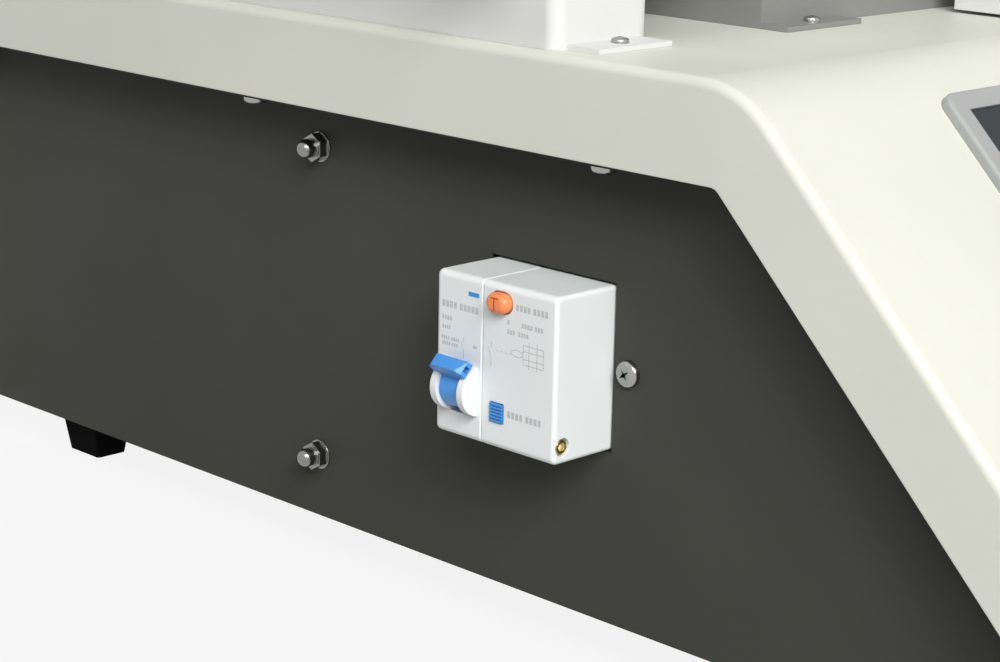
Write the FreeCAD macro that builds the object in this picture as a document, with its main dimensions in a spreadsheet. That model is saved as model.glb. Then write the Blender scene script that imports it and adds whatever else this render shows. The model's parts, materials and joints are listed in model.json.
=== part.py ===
import FreeCAD, Part
import math
import os
import types

import Sketcher

# Driving dimensions, in millimetres
SIZES = {
    # cabinet: a cream folded cover over a dark tray
    "base_length": 900,
    "base_depth": 480,
    "base_height": 154,
    "foot_height": 15,
    "sheet": 1.5,
    "lip_width": 26,
    "slope_lip": 22.7,
    "rear_lip": 12,
    "lip_depth": 15,
    "front_edge": 30,
    "bend_radius": 30,
    "fold_radius": 2.5,
    "panel_tuck": 10,
    "flange_width": 11,
    "tray_flange": 12,
    "seat_gap": 0.3,
    "hole_gap": 0.2,
    # slots cut for air
    "floor_slots": 12,
    "floor_slot_pitch": 22,
    "floor_slot_width": 6,
    "floor_slot_length": 60,
    "floor_slot_y": 130,
    "side_slots": 7,
    "side_slot_pitch": 9,
    "side_slot_width": 4,
    "side_slot_length": 80,
    "side_slot_y": 70,
    "rear_slots": 14,
    "rear_slot_pitch": 14,
    "rear_slot_width": 5,
    "rear_slot_length": 50,
    "fan_slots": 7,
    "fan_slot_pitch": 7.6,
    "fan_slot_width": 4.4,
    "fan_slot_share": 0.94,
    "hood_slots": 24,
    "hood_slot_pitch": 16,
    "hood_slot_width": 6,
    "hood_slot_length": 30,
    "hood_slot_drop": 22,
    "cover_slots": 6,
    "cover_slot_pitch": 9,
    "cover_slot_width": 4,
    "cover_slot_length": 28,
    # rubber feet
    "foot_side": 21,
    "foot_width": 16,
    "foot_taper": 2.2,
    "foot_corner": 1.2,
    "foot_inset_x": 30.8,
    "foot_inset_y": 49.8,
    # pan-head screws and cap nuts
    "screw_head": 7.4,
    "screw_head_height": 2.3,
    "screw_head_round": 1.5,
    "screw_shank": 4,
    "screw_reach": 5,
    "tab_screw_head": 4.8,
    "tab_screw_height": 1.6,
    "tab_screw_round": 1.1,
    "tab_screw_shank": 3,
    "lip_screw_y": 3,
    "lip_screw_pitch": 140,
    "lip_screw_rear": 140,
    "nut_flats": 7.4,
    "nut_height": 3,
    "nut_dome": 2.8,
    "nut_neck": 1.8,
    "washer_width": 9,
    "washer_height": 0.6,
    "stud_width": 4,
    "stud_reach": 14,
    "nut_y": 52.5,
    "nut_low": 19.5,
    "nut_pitch": 94,
    # breaker: a two-column rail device looking out of the left panel
    "breaker_y": -42.5,
    "breaker_rise": 70.9,
    "nose_height": 45,
    "nose_reach": 21.4,
    "nose_round": 1.8,
    "module_round": 1.2,
    "seam_round": 0.5,
    "breaker_gap": 0.7,
    "shoulder_gap": 4,
    "pole_width": 18,
    "module_width": 27,
    "case_height": 80,
    "case_depth": 46,
    "case_corner": 2,
    "rail_height": 35,
    "rail_depth": 7.5,
    "rail_lip": 5,
    "rail_skin": 1,
    "bracket_height": 30,
    "breaker_screw_gap": 6.2,
    "toggle_drop": 8.6,
    "toggle_inset": 1,
    "toggle_shift": 1.3,
    "cheek_radius": 6.8,
    "cheek_width": 2.2,
    "toggle_width": 7.4,
    "toggle_drum": 5.6,
    "toggle_grip": 12,
    "grip_start": 7.2,
    "grip_length": 3.6,
    "grip_low": 0.8,
    "grip_high": 3.4,
    "grip_slant": 1.4,
    "grip_taper": 1.6,
    "grip_hole": 1.8,
    "test_width": 7.6,
    "test_height": 5.4,
    "test_reach": 3,
    "test_round": 1.8,
    "test_rise": 17.6,
    "test_offset": 7,
    "reset_width": 4.7,
    "reset_height": 5,
    "reset_reach": 0.5,
    "reset_drop": 12.6,
    "reset_offset": 5.8,
    "reset_grooves": 5,
    "reset_groove_pitch": 0.9,
    "reset_groove_width": 0.4,
    "reset_groove_depth": 0.4,
    "button_depth": 4,
    "eyelet_radius": 1.9,
    "eyelet_bore": 1.1,
    "eyelet_recess": 2.5,
    "eyelet_back": 3.3,
    "eyelet_rise": 4.6,
    "eyelet_thick": 1.2,
    "eyelet_sink": 1.6,
    # relays on a heatsink, supply and control board
    "heatsink_width": 64,
    "heatsink_depth": 40,
    "heatsink_margin": 7,
    "heatsink_base": 5,
    "heatsink_fins": 8,
    "fin_thick": 2,
    "relay_length": 58,
    "relay_width": 42,
    "relay_depth": 23,
    "relay_corner": 2,
    "relay_ledge": 9,
    "relay_ledge_drop": 8,
    "relay_pitch": 48,
    "supply_x": -150,
    "supply_y": 130,
    "supply_length": 200,
    "supply_width": 98,
    "supply_height": 40,
    "supply_ledge": 18,
    "supply_ledge_drop": 15,
    "supply_slots": 12,
    "supply_slot_pitch": 12,
    "supply_slot_width": 4,
    "supply_slot_length": 76,
    "supply_slot_depth": 2,
    "board_x": 140,
    "board_y": -70,
    "board_length": 160,
    "board_width": 100,
    "board_thick": 1.6,
    "board_post": 3,
    "board_post_height": 8,
    "board_post_inset": 10,
    "board_relay_length": 16,
    "board_relay_width": 20,
    "board_relay_height": 15,
    "board_relay_pitch": 23,
    "board_chip": 24,
    "board_socket_length": 70,
    "board_socket_width": 9,
    "board_low_height": 6,
    # operator panel on the sloped front
    "display_left": 67,
    "display_width": 200,
    "display_height": 130,
    "display_drop": 13,
    "display_thick": 3,
    "display_frame": 6,
    "display_corner": 4,
    "display_round": 1.2,
    "display_depth": 34,
    "glass_thick": 1.2,
    "glass_sink": 0.6,
    "stop_x": 150,
    "stop_drop": 78,
    "stop_radius": 20,
    "stop_collar": 23,
    "stop_collar_height": 6,
    "stop_collar_round": 2,
    "stop_travel": 6,
    "stop_lift": 1.5,
    "stop_stem": 8,
    "stop_stem_tail": 10,
    "stop_barrel": 11,
    "stop_barrel_tail": 22,
    "stop_rim": 3,
    "stop_side": 4,
    "stop_crown": 6,
    "stop_bulge": 1,
    # conveyor
    "belt_centre_y": 75,
    "belt_width": 210,
    "belt_thick": 2.5,
    "roller_radius": 20,
    "roller_round": 2,
    "roller_rise": 58,
    "shaft_radius": 5,
    "running_gap": 0.05,
    "rail_clear": 14,
    "rail_web": 2,
    "rail_flange": 10,
    "rail_drop": 30,
    "rail_above": 25,
    "rail_overhang": 20,
    "bearing_flange": 17,
    "bearing_boss": 11,
    "bearing_thick": 3,
    "bearing_reach": 6,
    "bearing_round": 1.5,
    "rod_radius": 2.2,
    "carry_rods": 8,
    "return_rods": 4,
    "stand_width": 36,
    "stand_edge": 4,
    "stand_inset": 3,
    "stand_corner": 4,
    "stand_tab": 28,
    "stand_tab_depth": 11.5,
    "tab_depth": 9.5,
    "tab_width": 33,
    "tab_inset": 16.5,
    "gearbox_width": 40,
    "gearbox_height": 46,
    "gearbox_depth": 28,
    "gearbox_corner": 5,
    "drive_shaft": 18,
    "motor_radius": 14,
    "motor_length": 48,
    "cover_corner": 5,
    "cover_gap": 3,
    # heated tunnel
    "tunnel_length": 735,
    "tunnel_width": 260,
    "chamber_height": 69,
    "chamber_end": 27,
    "insulation": 20,
    "heater_radius": 6,
    "heater_cap": 8,
    "heater_cap_length": 8,
    "lower_heaters": 5,
    "upper_heaters": 6,
    "heater_pitch": 90,
    # hinged hood
    "hood_length": 580,
    "hood_front": 90,
    "hood_back": 228,
    "hood_height": 202,
    "hood_gap": 1,
    "hood_round": 22,
    "hood_back_round": 8,
    "notch_gap": 10,
    "split_gap": 3,
    "mouth_height": 51,
    "mouth_flange": 11,
    "upper_height": 85,
    "heater_clear": 36,
    "blower_x": 95,
    "blower_radius": 30,
    "blower_height": 23,
    "blower_round": 4,
    "blower_shaft": 3,
    "blower_seat": 12,
    "blower_shaft_clear": 2,
    "impeller_drop": 8,
    "impeller_radius": 48,
    "impeller_height": 14,
    "impeller_hub": 9,
    "impeller_plate": 1.2,
    "impeller_blades": 9,
    "impeller_blade": 1.4,
    "impeller_eye": 18,
    "impeller_edge": 4,
    "impeller_sweep": 15,
    "exhaust_x": 215,
    "exhaust_radius": 38,
    "exhaust_height": 27,
    "exhaust_brim": 9,
    "handle_x": 170,
    "handle_length": 120,
    "handle_reach": 34,
    "handle_radius": 5.5,
    "handle_bend": 12,
    "handle_rise": 110,
    "hinge_x": 190,
    "hinge_length": 60,
    "hinge_radius": 3.6,
    "hinge_pin": 2,
    "hinge_rise": 6.5,
    "hinge_leaf": 34,
    # fans and electrics
    "fan_side": 60,
    "fan_depth": 25,
    "fan_bore": 28,
    "fan_hub": 14,
    "fan_tip_gap": 1.2,
    "fan_corner": 4,
    "fan_plate": 3,
    "fan_struts": 3,
    "fan_strut": 4,
    "fan_pin": 1.5,
    "fan_pin_length": 9,
    "fan_lift": 0.5,
    "fan_front_gap": 2.5,
    "fan_blades": 7,
    "fan_blade": 1.4,
    "fan_blade_margin": 5,
    "fan_blade_sweep": 13,
    "guard_wire": 1.8,
    "guard_rings": 4,
    "guard_pitch": 6.8,
    "guard_reach": 36.5,
    "fan_x": 250,
    "gland_x": -330,
    "gland_rise": 45,
    "gland_radius": 11,
    "gland_thread": 8,
    "gland_bore": 4.5,
    "gland_reach": 13,
    "gland_tail": 12,
    "gland_nut": 5,
    "gland_step": 1,
    "gland_round": 4,
}

# Cuts start this far outside the solid
OVER = 1
# Degrees that the breaker's lever stands above level when it is on
TOGGLE_UP = 44

# A sloped line that moves inward by 1 moves this far along the level
DIAGONAL = math.sqrt(2)
PLANE_SIGN = {"XY_Plane": 1, "XZ_Plane": -1, "YZ_Plane": 1}

doc = FreeCAD.newDocument("reflow_oven")
sheet = doc.addObject("Spreadsheet::Sheet", "Sizes")
for row, (alias, number) in enumerate(SIZES.items(), start=1):
    sheet.set(f"A{row}", alias)
    sheet.set(f"B{row}", str(number))
    sheet.setAlias(f"B{row}", alias)
doc.recompute()


class Size:
    """A length that carries its number and the sheet formula that drives it."""

    def __init__(self, text, value):
        self.text = text
        self.value = float(value)

    def joined(self, sign, other, value):
        return Size(f"({self.text} {sign} {size(other).text})", value)

    def __add__(self, other):
        return self.joined("+", other, self.value + size(other).value)

    def __sub__(self, other):
        return self.joined("-", other, self.value - size(other).value)

    def __mul__(self, other):
        return self.joined("*", other, self.value * size(other).value)

    def __truediv__(self, other):
        return self.joined("/", other, self.value / size(other).value)

    def __radd__(self, other):
        return size(other) + self

    def __rsub__(self, other):
        return size(other) - self

    def __rmul__(self, other):
        return size(other) * self

    def __neg__(self):
        return size(0) - self


def size(amount):
    return amount if isinstance(amount, Size) else Size(repr(float(amount)), amount)


d = types.SimpleNamespace(**{a: Size(f"Sizes.{a}", getattr(sheet, a)) for a in SIZES})

# Places that many pieces share
half = d.base_length / 2
front = -d.base_depth / 2
back = d.base_depth / 2
bottom = d.foot_height
top = d.foot_height + d.base_height
panel_face = half - d.lip_depth
back_face = back - d.lip_depth
slope_top = front + d.base_height - d.front_edge
lip_edge = top - d.lip_width
breaker_z = bottom + d.breaker_rise
nose_face = -panel_face - d.nose_reach
shoulder = -panel_face + d.sheet + d.shoulder_gap
case_back = shoulder + d.case_depth
toggle_x = nose_face + d.toggle_inset
toggle_z = breaker_z - d.toggle_drop
breaker_low = d.breaker_y - (d.pole_width + d.module_width) / 2
seam_y = breaker_low + d.module_width
breaker_high = seam_y + d.pole_width
toggle_y = seam_y + d.pole_width / 2 - d.toggle_shift
test_y = seam_y - d.test_offset
reset_y = seam_y - d.reset_offset
roller_z = top + d.roller_rise
tunnel_front = d.belt_centre_y - d.tunnel_width / 2
tunnel_back = d.belt_centre_y + d.tunnel_width / 2
stand_outer = half - d.stand_edge
stand_front = tunnel_front + d.stand_inset
stand_back = tunnel_back - d.stand_inset
rail_low = roller_z - d.rail_drop
rail_top = roller_z + d.rail_above
rail_inner = d.belt_width / 2 + d.rail_clear
belt_radius = d.roller_radius + d.seat_gap
belt_top = roller_z + belt_radius + d.belt_thick
rim = top + d.chamber_height
split = rim + d.split_gap
mouth_top = split + d.mouth_height
chamber_top = split + d.upper_height
upper_heater_z = belt_top + d.heater_clear + d.heater_radius
hood_low = top + d.hood_gap
hood_top = hood_low + d.hood_height
hood_half = d.hood_length / 2
hinge_y = d.hood_back + d.sheet + d.hinge_radius + d.seat_gap
hinge_z = top + d.hinge_rise
mouth_fan_x = (hood_half + d.tunnel_length / 2) / 2
fan_z = (bottom + lip_edge) / 2
shank_hole = d.screw_shank / 2 + d.hole_gap
tab_hole = d.tab_screw_shank / 2 + d.hole_gap
through = d.sheet + 2 * OVER

nodes = []


def node(thing, label):
    """Names a finished sub-part and lists it for the hand-out."""
    thing.Label = label
    nodes.append(thing)
    return thing


def bind(thing, name, amount):
    thing.setExpression(name, size(amount).text)


def place(thing, x=0, y=0, z=0, turn=None):
    """Moves a sub-part to its place, with an optional turn (axis, degrees)."""
    if turn:
        axis, degrees = turn
        thing.Placement = FreeCAD.Placement(FreeCAD.Vector(), FreeCAD.Rotation(axis, degrees))
    for letter, amount in (("x", x), ("y", y), ("z", z)):
        bind(thing, f"Placement.Base.{letter}", amount)
    return thing


X_AXIS = FreeCAD.Vector(1, 0, 0)
Y_AXIS = FreeCAD.Vector(0, 1, 0)
Z_AXIS = FreeCAD.Vector(0, 0, 1)


def new_body(label):
    return doc.addObject("PartDesign::Body", label)


def draw_on(body, plane, at=0):
    """Starts a sketch on one of the body's own planes, moved to a height on its axis."""
    drawing = body.newObject("Sketcher::SketchObject", f"{body.Name}_sketch")
    support = next(o for o in body.Origin.OriginFeatures if o.Role == plane)
    drawing.AttachmentSupport = [(support, "")]
    drawing.MapMode = "FlatFace"
    bind(drawing, "AttachmentOffset.Base.z", size(at) * PLANE_SIGN[plane])
    return drawing


def fix(drawing, geometry, point, x, y):
    """Holds a point of the sketch at two driven coordinates."""
    for kind, amount in (("DistanceX", size(x)), ("DistanceY", size(y))):
        rule = Sketcher.Constraint(kind, -1, 1, geometry, point, amount.value)
        index = drawing.addConstraint(rule)
        bind(drawing, f"Constraints[{index}]", amount)


def fix_radius(drawing, geometry, radius):
    index = drawing.addConstraint(Sketcher.Constraint("Radius", geometry, size(radius).value))
    bind(drawing, f"Constraints[{index}]", radius)


def outline(drawing, points, closed=True):
    """Draws a polygon whose corners (x, y) or (x, y, radius) follow the sheet."""
    corners = [FreeCAD.Vector(size(p[0]).value, size(p[1]).value, 0) for p in points]
    count = len(points)
    entry = list(corners)
    leave = list(corners)
    bends = {}
    for i, p in enumerate(points):
        if len(p) < 3:
            continue
        radius = size(p[2]).value
        into = (corners[i] - corners[i - 1]).normalize()
        onward = (corners[(i + 1) % count] - corners[i]).normalize()
        reach = radius * math.tan(into.getAngle(onward) / 2)
        entry[i] = corners[i] - into * reach
        leave[i] = corners[i] + onward * reach
        left_turn = into.cross(onward).z > 0
        side = FreeCAD.Vector(-into.y, into.x, 0) * (1 if left_turn else -1)
        centre = entry[i] + side * radius
        middle = centre + (corners[i] - centre).normalize() * radius
        bends[i] = (Part.Arc(entry[i], middle, leave[i]), left_turn)
    sides = count if closed else count - 1
    lines = []
    for i in range(sides):
        line = Part.LineSegment(leave[i], entry[(i + 1) % count])
        lines.append(drawing.addGeometry(line, False))
    for i, p in enumerate(points):
        if not closed and i in (0, count - 1):
            fix(drawing, lines[0 if i == 0 else -1], 1 if i == 0 else 2, p[0], p[1])
            continue
        before, after = lines[i - 1], lines[i]
        if i not in bends:
            drawing.addConstraint(Sketcher.Constraint("Coincident", before, 2, after, 1))
            fix(drawing, after, 1, p[0], p[1])
            continue
        arc, left_turn = bends[i]
        curve = drawing.addGeometry(arc, False)
        first, last = (1, 2) if left_turn else (2, 1)
        corner = drawing.addGeometry(Part.Point(corners[i]), True)
        drawing.addConstraint(Sketcher.Constraint("Tangent", before, 2, curve, first))
        drawing.addConstraint(Sketcher.Constraint("Tangent", curve, last, after, 1))
        drawing.addConstraint(Sketcher.Constraint("PointOnObject", corner, 1, before))
        drawing.addConstraint(Sketcher.Constraint("PointOnObject", corner, 1, after))
        fix(drawing, corner, 1, p[0], p[1])
        fix_radius(drawing, curve, p[2])
    return drawing


def rectangle(drawing, x_low, x_high, y_low, y_high, radius=None):
    corners = [(x_low, y_low), (x_high, y_low), (x_high, y_high), (x_low, y_high)]
    if radius is not None:
        corners = [(x, y, radius) for x, y in corners]
    return outline(drawing, corners)


def circle(drawing, x, y, radius):
    centre = FreeCAD.Vector(size(x).value, size(y).value, 0)
    ring = drawing.addGeometry(Part.Circle(centre, Z_AXIS, size(radius).value), False)
    fix(drawing, ring, 3, x, y)
    fix_radius(drawing, ring, radius)
    return drawing


def stadium(drawing, x_low, x_high, y, radius):
    """Draws a loop of two straight runs and two half circles."""
    r = size(radius).value
    ends = []
    for x, way in ((x_low, -1), (x_high, 1)):
        centre = FreeCAD.Vector(size(x).value, size(y).value, 0)
        turned = Part.Arc(
            centre + FreeCAD.Vector(0, -way * r, 0),
            centre + FreeCAD.Vector(way * r, 0, 0),
            centre + FreeCAD.Vector(0, way * r, 0),
        )
        arc = drawing.addGeometry(turned, False)
        fix(drawing, arc, 3, x, y)
        fix_radius(drawing, arc, radius)
        ends.append((arc, centre))
    (left, left_centre), (right, right_centre) = ends
    for way, left_point, right_point in ((1, 1, 2), (-1, 2, 1)):
        shift = FreeCAD.Vector(0, way * r, 0)
        run = Part.LineSegment(left_centre + shift, right_centre + shift)
        line = drawing.addGeometry(run, False)
        drawing.addConstraint(Sketcher.Constraint("Tangent", left, left_point, line, 1))
        drawing.addConstraint(Sketcher.Constraint("Tangent", right, right_point, line, 2))
    return drawing


def extruded(kind, drawing, length, way, both):
    body = drawing.getParentGeoFeatureGroup()
    made = body.newObject(f"PartDesign::{kind}", f"{body.Name}_{kind}")
    made.Profile = drawing
    normal = PLANE_SIGN[drawing.AttachmentSupport[0][0].Role]
    made.Reversed = way * normal * (-1 if kind == "Pocket" else 1) < 0
    if both:
        made.SideType = "Symmetric"
    bind(made, "Length", length)
    return made


def pad(drawing, length, way=1, both=False):
    """Adds material along the plane's axis; way -1 goes down the axis."""
    return extruded("Pad", drawing, length, way, both)


def pocket(drawing, length, way=-1, both=False):
    """Cuts along the plane's axis and makes sure that the cut met the solid."""
    body = drawing.getParentGeoFeatureGroup()
    doc.recompute()
    before = body.Shape.Volume
    made = extruded("Pocket", drawing, length, way, both)
    doc.recompute()
    if body.Shape.Volume >= before - 1e-6:
        raise RuntimeError(f"a cut missed {body.Label}")
    return made


def revolve(drawing, axis="V_Axis"):
    body = drawing.getParentGeoFeatureGroup()
    made = body.newObject("PartDesign::Revolution", f"{body.Name}_turned")
    made.Profile = drawing
    made.ReferenceAxis = (drawing, [axis])
    made.Angle = 360
    return made


def around(body, feature, count):
    """Repeats a feature about the body's own Z axis."""
    ring = body.newObject("PartDesign::PolarPattern", f"{body.Name}_ring")
    axis = next(o for o in body.Origin.OriginFeatures if o.Role == "Z_Axis")
    ring.Originals = [feature]
    ring.Axis = (axis, [""])
    ring.Angle = 360
    bind(ring, "Occurrences", count)
    body.Tip = ring
    return ring


def round_edges(body, radius, chosen):
    """Rounds the edges that the test picks out."""
    doc.recompute()
    base = body.Tip
    names = [f"Edge{i}" for i, edge in enumerate(base.Shape.Edges, 1) if chosen(edge)]
    made = body.newObject("PartDesign::Fillet", f"{body.Name}_round")
    made.Base = (base, names)
    bind(made, "Radius", radius)
    return made


def lies_at(edge, axis, amount):
    """True where the whole edge lies at one coordinate."""
    low = getattr(edge.BoundBox, f"{axis}Min")
    high = getattr(edge.BoundBox, f"{axis}Max")
    return abs(low - size(amount).value) < 1e-4 and abs(high - size(amount).value) < 1e-4


def group(label, pieces):
    made = doc.addObject("Part::Compound", label)
    made.Links = pieces
    return node(made, label)


def copy_of(master, x=0, y=0, z=0, turn=None):
    link = doc.addObject("App::Link", f"{master.Name}_copy")
    link.LinkedObject = master
    return place(link, x, y, z, turn)


def spread(count, pitch):
    """Centred places of a row."""
    count = int(size(count).value)
    return [pitch * (i - (count - 1) / 2) for i in range(count)]


def slots(drawing, places, width, low, high):
    """Draws a row of upright slots."""
    for x in places:
        rectangle(drawing, x - width / 2, x + width / 2, low, high)
    return drawing


def turned_piece(label, points):
    """A body turned about its own Z axis from a half outline (radius, height)."""
    body = new_body(label)
    revolve(outline(draw_on(body, "XZ_Plane"), points))
    return body


# Cabinet


def cover_outline(inset, drop, slope=None, rear=None):
    """The cabinet's end outline, moved inward by an inset, which may differ at the slope and the rear."""
    slope = inset if slope is None else slope
    rear = inset if rear is None else rear
    bend = d.bend_radius - inset
    shift = size(slope) * DIAGONAL
    return [
        (front + slope, bottom - drop),
        (front + slope, bottom + d.front_edge + slope - shift, bend),
        (slope_top + shift - inset, top - inset, bend),
        (back - rear, top - inset),
        (back - rear, bottom - drop),
    ]


def lip_outline(tuck, drop):
    """The edge of the cover's lip, or a line that lies tucked behind it."""
    return cover_outline(d.lip_width - tuck, drop, d.slope_lip - tuck, d.rear_lip - tuck)


def on_slope(drawing):
    """Lays a sketch on the sloped front: x runs along it, y runs up from it to the top fold."""
    drawing.AttachmentOffset = FreeCAD.Placement(FreeCAD.Vector(), FreeCAD.Rotation(X_AXIS, 45))
    bind(drawing, "AttachmentOffset.Base.y", slope_top)
    bind(drawing, "AttachmentOffset.Base.z", top)
    return drawing


def lip_screw_places():
    middle = d.lip_screw_y + d.lip_screw_pitch / 2
    return [middle - d.lip_screw_pitch, middle, middle + d.lip_screw_rear]


def stand_tab_places():
    """Screw places of the end stands' tabs."""
    x = stand_outer - d.stand_width / 2
    ends = (stand_front - d.stand_tab_depth / 2, stand_back + d.stand_tab_depth / 2)
    return [(side * x, y) for side in (-1, 1) for y in ends]


def chamber_tab_places():
    x = d.tunnel_length / 2 - d.tab_inset
    ends = (tunnel_front - d.tab_depth / 2, tunnel_back + d.tab_depth / 2)
    return [(side * x, y) for side in (-1, 1) for y in ends]


def make_top_shell():
    body = new_body("top_shell")
    pad(outline(draw_on(body, "YZ_Plane"), cover_outline(0, 0)), d.base_length, both=True)

    def end_edge(edge):
        at_end = lies_at(edge, "X", half) or lies_at(edge, "X", -half)
        return at_end and not lies_at(edge, "Z", bottom)

    round_edges(body, d.fold_radius, end_edge)
    inside = outline(draw_on(body, "YZ_Plane"), cover_outline(d.sheet, OVER))
    pocket(inside, d.base_length - 2 * d.sheet, both=True)
    window = outline(draw_on(body, "YZ_Plane"), lip_outline(0, OVER))
    pocket(window, d.base_length + 2 * OVER, both=True)
    opening = half - d.lip_width
    rear = draw_on(body, "XZ_Plane", back + OVER)
    pocket(rectangle(rear, -opening, opening, bottom - OVER, lip_edge), through)
    band = lip_outline(d.sheet, 0) + lip_outline(0, 0)[::-1]
    pad(outline(draw_on(body, "YZ_Plane"), band), d.base_length - d.sheet, both=True)
    pocket(outline(draw_on(body, "YZ_Plane"), band), 2 * panel_face, both=True)
    ledge = draw_on(body, "YZ_Plane")
    rectangle(ledge, back_face, back - d.sheet / 2, lip_edge, lip_edge + d.sheet)
    pad(ledge, 2 * opening, both=True)
    cut = on_slope(draw_on(body, "XY_Plane"))
    x_low = -half + d.display_left + d.display_frame - d.seat_gap
    x_high = -half + d.display_left + d.display_width - d.display_frame + d.seat_gap
    y_high = -d.display_drop - d.display_frame + d.seat_gap
    y_low = -d.display_drop - d.display_height + d.display_frame - d.seat_gap
    rectangle(cut, x_low, x_high, y_low, y_high)
    circle(cut, d.stop_x, -d.stop_drop, d.stop_barrel + d.seat_gap)
    pocket(cut, d.sheet * 3, both=True)
    holes = draw_on(body, "XY_Plane", top + OVER)
    for x, y in stand_tab_places() + chamber_tab_places():
        circle(holes, x, y, tab_hole)
    pocket(holes, through)
    under = draw_on(body, "XY_Plane", lip_edge - OVER)
    for side in (-1, 1):
        for y in lip_screw_places():
            circle(under, side * (panel_face + d.lip_depth / 2), y, shank_hole)
    pocket(under, through, way=1)
    node(body, "top_shell")


def make_bottom_plate():
    body = new_body("bottom_plate")
    wide = panel_face - d.sheet
    inner = wide - d.sheet
    floor = bottom + d.sheet
    tall = bottom + d.tray_flange
    profile = [
        (-wide, bottom),
        (wide, bottom),
        (wide, tall),
        (inner, tall),
        (inner, floor),
        (-inner, floor),
        (-inner, tall),
        (-wide, tall),
    ]
    start = front + d.sheet + d.seat_gap
    pad(outline(draw_on(body, "XZ_Plane", start), profile), back_face - d.sheet - start)
    vents = draw_on(body, "XY_Plane", floor + OVER)
    reach = d.floor_slot_length / 2
    row = spread(d.floor_slots, d.floor_slot_pitch)
    slots(vents, row, d.floor_slot_width, d.floor_slot_y - reach, d.floor_slot_y + reach)
    pocket(vents, through)
    posts = draw_on(body, "XY_Plane", floor)
    x = d.board_length / 2 - d.board_post_inset
    y = d.board_width / 2 - d.board_post_inset
    for i in (-1, 1):
        for j in (-1, 1):
            circle(posts, d.board_x + i * x, d.board_y + j * y, d.board_post)
    pad(posts, d.board_post_height)
    node(body, "bottom_plate")


def make_side_panel(side):
    label = "left_side_panel" if side < 0 else "right_side_panel"
    body = new_body(label)
    plate = draw_on(body, "YZ_Plane", side * panel_face)
    pad(outline(plate, lip_outline(d.panel_tuck, 0)), d.sheet, way=-side)
    flange = draw_on(body, "YZ_Plane", side * (panel_face - d.sheet / 2))
    start = slope_top + d.lip_width
    rectangle(flange, start, back - d.rear_lip - d.sheet, lip_edge - d.sheet, lip_edge)
    pad(flange, d.flange_width + d.sheet / 2, way=side)
    holes = draw_on(body, "XY_Plane", lip_edge + OVER)
    for y in lip_screw_places():
        circle(holes, side * (panel_face + d.lip_depth / 2), y, shank_hole)
    pocket(holes, through)
    cuts = draw_on(body, "YZ_Plane", side * (panel_face + OVER))
    if side < 0:
        gap = d.breaker_gap
        high = breaker_z + d.nose_height / 2 + gap
        low = breaker_z - d.nose_height / 2 - gap
        rectangle(cuts, breaker_low - gap, breaker_high + gap, low, high)
        for y in breaker_screw_places():
            circle(cuts, y, breaker_z, shank_hole)
        for z in nut_places():
            circle(cuts, d.nut_y, z, d.stud_width / 2 + d.hole_gap)
    else:
        reach = d.side_slot_length / 2
        wide = d.side_slot_width / 2
        for step in spread(d.side_slots, d.side_slot_pitch):
            z = fan_z + step
            rectangle(cuts, d.side_slot_y - reach, d.side_slot_y + reach, z - wide, z + wide)
    pocket(cuts, through, way=-side)
    node(body, label)


def breaker_screw_places():
    return [breaker_low - d.breaker_screw_gap, breaker_high + d.breaker_screw_gap]


def nut_places():
    low = bottom + d.nut_low
    return [low, low + d.nut_pitch]


def make_rear_panel():
    body = new_body("rear_panel")
    wide = panel_face - d.sheet - d.seat_gap
    plate = draw_on(body, "XZ_Plane", back_face)
    pad(rectangle(plate, -wide, wide, bottom, lip_edge + d.panel_tuck), d.sheet, way=-1)
    cuts = draw_on(body, "XZ_Plane", back_face + OVER)
    for x in spread(d.fan_slots, d.fan_slot_pitch):
        chord = math.sqrt(1 - (x.value / d.fan_bore.value) ** 2)
        reach = d.fan_bore * d.fan_slot_share * chord
        slots(cuts, [d.fan_x + x], d.fan_slot_width, fan_z - reach, fan_z + reach)
    reach = d.rear_slot_length / 2
    row = spread(d.rear_slots, d.rear_slot_pitch)
    slots(cuts, row, d.rear_slot_width, fan_z - reach, fan_z + reach)
    circle(cuts, d.gland_x, bottom + d.gland_rise, d.gland_thread + d.hole_gap)
    pocket(cuts, through)
    node(body, "rear_panel")


def make_feet():
    body = new_body("foot_master")
    wide = d.foot_width / 2
    long = d.foot_side / 2
    upper = draw_on(body, "XY_Plane", bottom)
    rectangle(upper, -wide, wide, -long, long, d.foot_corner)
    wide = wide - d.foot_taper
    long = long - d.foot_taper
    lower = draw_on(body, "XY_Plane", 0)
    rectangle(lower, -wide, wide, -long, long, d.foot_corner)
    loft = body.newObject("PartDesign::AdditiveLoft", "foot_taper_solid")
    loft.Profile = upper
    loft.Sections = [lower]
    loft.Ruled = True
    x = half - d.foot_inset_x
    y = back - d.foot_inset_y
    group("rubber_feet", [copy_of(body, i * x, j * y) for i in (-1, 1) for j in (-1, 1)])


def pan_head_screw(label, head, tall, soft, shank):
    profile = [
        (0, -d.screw_reach),
        (shank / 2, -d.screw_reach),
        (shank / 2, 0),
        (head / 2, 0),
        (head / 2, tall, soft),
        (0, tall),
    ]
    return turned_piece(label, profile)


def make_screws():
    sizes = (d.screw_head, d.screw_head_height, d.screw_head_round, d.screw_shank)
    body = pan_head_screw("screw_master", *sizes)
    copies = []
    for side in (-1, 1):
        for y in lip_screw_places():
            x = side * (panel_face + d.lip_depth / 2)
            copies.append(copy_of(body, x, y, lip_edge - d.sheet, (X_AXIS, 180)))
    for y in breaker_screw_places():
        copies.append(copy_of(body, -panel_face, y, breaker_z, (Y_AXIS, -90)))
    sizes = (d.tab_screw_head, d.tab_screw_height, d.tab_screw_round, d.tab_screw_shank)
    small = pan_head_screw("tab_screw_master", *sizes)
    for x, y in stand_tab_places() + chamber_tab_places():
        copies.append(copy_of(small, x, y, top + d.sheet))
    group("cabinet_screws", copies)


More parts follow.
